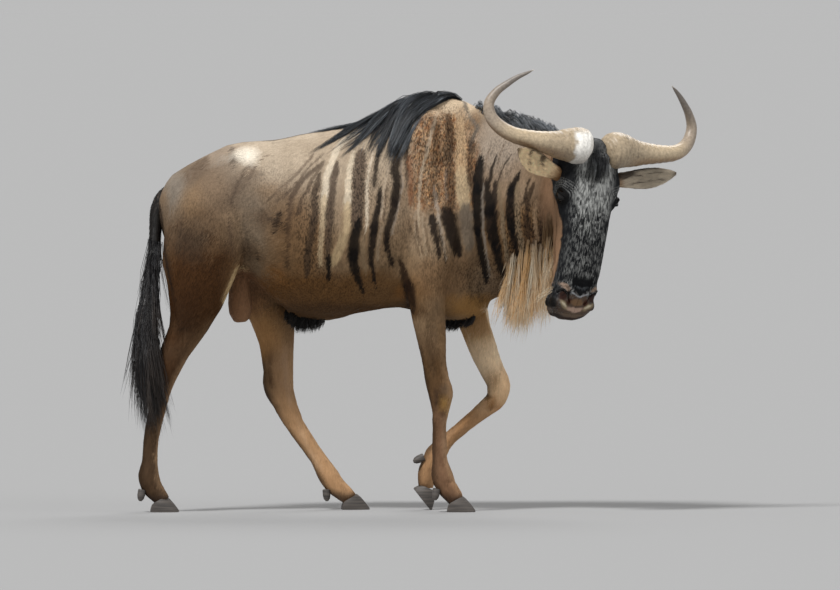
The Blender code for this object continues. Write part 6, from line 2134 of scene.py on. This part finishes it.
class CoatOperator(bpy.types.Operator):
    """Covers the skin with short tufts that carry its markings"""

    bl_idname = "wildebeest.coat"
    bl_label = "Lay Coat"

    def execute(self, context):
        values, hair = context.scene.wildebeest_hide, context.scene.wildebeest_hair
        rng = np.random.default_rng(SEED_COAT)
        look = hair_material("short body hair", .65, .12)
        middles = SKIN["middles"]
        head, limbs = head_shares(middles), limb_shares(middles)
        body = (1 - head) * (1 - limbs)
        f, l, u = head_parts(middles)
        bare = .452 + .4 * np.maximum(np.abs(l) - .03, 0)
        furred = ramp(eye_gaps(middles), .024, .03) * (1 - ramp((f - bare) * (u > -.12), -.008, .008))
        ahead, behind = ramp(middles[:, 0], .16, .2), ramp(-middles[:, 0], .43, .47)
        low = limbs * (middles[:, 2] > .03)
        for name, count, weights, size, lift in (
                ("coat_flank", hair.flank, body * (1 - ahead) * (1 - behind), 1.15, .05),
                ("coat_rump", hair.rump, body * behind, .95, .05),
                ("coat_neck", hair.neck, body * ahead, 1.15, .07),
                ("coat_forelegs", hair.fore, low * (middles[:, 0] > -.2), .65, .08),
                ("coat_hindlegs", hair.hind, low * (middles[:, 0] < -.2), .65, .08),
                ("coat_head", hair.head, head * furred, .62, .1)):
            places, outs, marks = scatter(SKIN, count, weights, rng)
            size = size * (1 - .4 * ramp(-eye_gaps(places), -.07, -.03))
            lengths = hair.tuft_length * size * rng.uniform(.7, 1.3, count)
            halves = hair.tuft_width * size * rng.uniform(.7, 1.3, count)
            piece = tufts(name, (places, outs, marks), lie_of(places, outs), (lengths, halves), lift,
                coat_colour(places, values), SKIN, rng)
            settle(piece, look, "coat")
        return {"FINISHED"}


def together(*parts):
    """Combed hair of several kinds as one."""
    return tuple(np.concatenate(rows) for rows in zip(*parts))


class ManeOperator(bpy.types.Operator):
    """Combs the mane over the withers and the neck, and the forelock"""

    bl_idname = "wildebeest.mane"
    bl_label = "Comb Mane"

    def execute(self, context):
        hairs = context.scene.wildebeest_hair.strands
        rng = np.random.default_rng(SEED_COAT + 1)
        look = hair_material("black mane hair", .34, .45)
        tree = SKIN["tree"]
        # The grey ends of the black hair's colours are painted sheen on the black hair.
        black, tips = "0b0c0f 454b53", "101115 848a8f"
        crest = together(*(comb(rows, from_above, 9, hairs, rng, tree) for rows in (NECK_MANE, CREST)))
        fan = stream(NECK_FAN, -1, hairs, rng, tree, spread=.004, wave=.006)
        poll = comb(FORELOCK, on_face, 8, hairs, rng, tree, spread=.003)
        near = stream(WITHERS, -1, hairs, rng, tree, spread=.0045)
        far = stream(WITHERS, 1, hairs // 3, rng, tree)
        for name, combed, half, roots, ends in (
                ("mane_near", near, .0008, black, tips),
                ("mane_far", far, .0012, black, tips),
                ("mane_neck", crest, .001, black, tips),
                ("mane_fan", fan, .0008, "0b0c0f 4b4136", "1a1715 b7a98f"),
                ("forelock_hair", poll, .0006, black, "101115 6f6e69")):
            settle(hair_piece(name, combed, half, roots, ends, rng, SKIN), look, "black_hair")
        return {"FINISHED"}


class BeardOperator(bpy.types.Operator):
    """Hangs the pale beard, the jaw's fringe and the tufts under the belly"""

    bl_idname = "wildebeest.beard"
    bl_label = "Hang Beard"

    def execute(self, context):
        hairs = context.scene.wildebeest_hair.strands
        rng = np.random.default_rng(SEED_COAT + 2)
        tree = SKIN["tree"]
        look = hair_material("pale beard hair", .5, .35)
        beard = fall(BEARD_FALLS, rng, hairs, tree)
        settle(hair_piece("beard_hair", beard, .0007, "4a3623 6f5439", "f0bf80 fff6de", rng, SKIN, .45),
            look, "pale_hair")
        fringe = together(*(stream(JAW_FRINGE, sign, hairs // 2, rng, tree, spread=.006, wave=.004)
            for sign in (-1, 1)))
        settle(hair_piece("jaw_fringe", fringe, .0008, "6b533c 8a6e50", "6e5439 b39468", rng, SKIN), look,
            "pale_hair")
        dark = hair_material("dark belly hair", .5, .3)
        belly = together(*(comb(rows, from_below, clumps, hairs, rng, tree, spread=.006)
            for rows, clumps in ((SHEATH_TUFT, 16), (BRISKET_TUFT, 12))))
        settle(hair_piece("belly_tufts", belly, .0011, "0b0908 14100d", "0f0c0a 231c17", rng, SKIN), dark,
            "black_hair")
        return {"FINISHED"}


class TailOperator(bpy.types.Operator):
    """Makes the tail's dock and its long black tassel"""

    bl_idname = "wildebeest.tail"
    bl_label = "Make Tail"

    def execute(self, context):
        hairs = context.scene.wildebeest_hair.strands
        rng = np.random.default_rng(SEED_COAT + 3)
        bm = bmesh.new()
        loft_hanging(bm, TAIL_DOCK, 24, 4)
        bmesh.ops.triangulate(bm, faces=bm.faces)
        dock = make_object("tail_dock", bm)
        points = points_of(dock.data)
        grain = soft_noise(points * np.array([1, 1, .2]), .004, 61)
        colours = plain(points, "1b1815") * (1 + .3 * grain)[:, None]
        colours = blend_in(colours, (.7 * ramp(points[:, 2], .93, 1.0) * ramp(grain, 0.0, .5), "5a4c3e"))
        paint_attribute(dock.data, colours)
        dock.data.shade_smooth()
        unwrap(dock)
        ground = remember(dock)
        count = DOCK_TUFTS
        places, outs, marks = scatter(ground, count, ramp(ground["middles"][:, 2], .55, .6), rng)
        ways = unit(np.array([0.0, 0.0, -1.0]) - outs * -outs[:, 2:])
        sizes = (rng.uniform(.012, .022, count), rng.uniform(.0005, .001, count))
        short = tufts("tail_hair", (places, outs, marks), ways, sizes, .16, plain(places, "1d1a18"), ground,
            rng, .25)
        combed = comb(TASSEL_TIERS, on_dock, 22, hairs, rng, ground["tree"], spread=.008, wave=.008)
        piece = hair_piece("tail_tassel", combed, .001, "0b0c0f 23262b", "131417 4a4038", rng, ground)
        look = hair_material("black tail hair", .4, .35)
        settle(dock, look, "black_hair", "tail")
        settle(short, look, "black_hair")
        settle(piece, look, "black_hair")
        return {"FINISHED"}


FLOOR_REACH = 2500.0
FRAME_MIDDLE = Vector((.024, 0.0, .691))  # the point in the middle of the frame
FRAME_WIDTH = .0032 * 840  # metres at the animal: 3.2 mm for each dot across the frame
SENSOR = 36  # millimetres
SIGHT = 4000  # how far the camera sees


class StudioOperator(bpy.types.Operator):
    """Sets the pale floor, the soft lights and the camera"""

    bl_idname = "wildebeest.studio"
    bl_label = "Set Studio"

    def execute(self, context):
        values = context.scene.wildebeest_studio
        bm = bmesh.new()
        bmesh.ops.create_grid(bm, x_segments=1, y_segments=1, size=FLOOR_REACH)
        floor = make_object("studio_floor", bm)
        # Matt floor paint, which gives no highlights
        floor.data.materials.append(new_material("matt floor paint", .95, values.floor[:],
            Specular_IOR_Level=0.0)[0])
        # Broad suns, which light the floor evenly to where it meets the background: way to the light, power,
        # apparent width in degrees
        for name, way, power, width in (
                ("key", (-.45, -.6, 1.0), 3.0, 12),
                ("fill", (.95, -.6, .45), .5, 40),
                ("rim", (.25, .9, .8), 1.1, 30)):
            light = bpy.data.lights.new(name, "SUN")
            light.energy = power
            light.angle = math.radians(width)
            lamp = bpy.data.objects.new(name, light)
            lamp.location = Vector(way) * 8
            lamp.rotation_euler = (-Vector(way)).to_track_quat("-Z", "Y").to_euler()
            context.collection.objects.link(lamp)
        world = bpy.data.worlds.new("studio")
        context.scene.world = world
        context.scene.view_settings.view_transform = "Standard"
        world.use_nodes = True
        sky = world.node_tree.nodes["Background"].inputs
        sky["Color"].default_value = (1.0, 1.0, 1.0, 1)
        sky["Strength"].default_value = .5
        camera = bpy.data.cameras.new("camera")
        aim = FRAME_MIDDLE + FRAME_SHIFT
        camera.sensor_width = SENSOR
        camera.lens = values.distance / FRAME_WIDTH * SENSOR
        camera.clip_end = SIGHT
        view = bpy.data.objects.new("camera", camera)
        view.location = Vector((aim.x, aim.y - values.distance, values.height))
        view.rotation_euler = (aim - view.location).to_track_quat("-Z", "Y").to_euler()
        context.collection.objects.link(view)
        context.scene.camera = view
        return {"FINISHED"}


STEPS = (SkinOperator, EyeOperator, HornOperator, EarOperator, HoofOperator, CoatOperator, ManeOperator,
    BeardOperator, TailOperator, StudioOperator)


class WildebeestPanel(bpy.types.Panel):
    """The pieces of the model and their values"""

    bl_idname = "WILDEBEEST_PT_panel"
    bl_label = "Wildebeest"
    bl_space_type = "VIEW_3D"
    bl_region_type = "UI"
    bl_category = "Wildebeest"

    def draw(self, context):
        for group in (context.scene.wildebeest_hide, context.scene.wildebeest_hair,
                context.scene.wildebeest_studio):
            column = self.layout.column()
            for name in group.bl_rna.properties.keys():
                if name not in ("rna_type", "name"):
                    column.prop(group, name)
        for step in STEPS:
            self.layout.operator(step.bl_idname)


GROUPS = {"wildebeest_hide": HideValues, "wildebeest_hair": HairValues, "wildebeest_studio": StudioValues}


def register():
    for group in (*GROUPS.values(), *STEPS, WildebeestPanel):
        bpy.utils.register_class(group)
    for name, group in GROUPS.items():
        setattr(bpy.types.Scene, name, PointerProperty(type=group))


def unregister():
    for name in GROUPS:
        delattr(bpy.types.Scene, name)
    for group in (WildebeestPanel, *reversed(STEPS), *GROUPS.values()):
        bpy.utils.unregister_class(group)


def main():
    register()
    for step in STEPS:
        family, name = step.bl_idname.split(".")
        getattr(getattr(bpy.ops, family), name)()


if __name__ == "__main__":
    main()
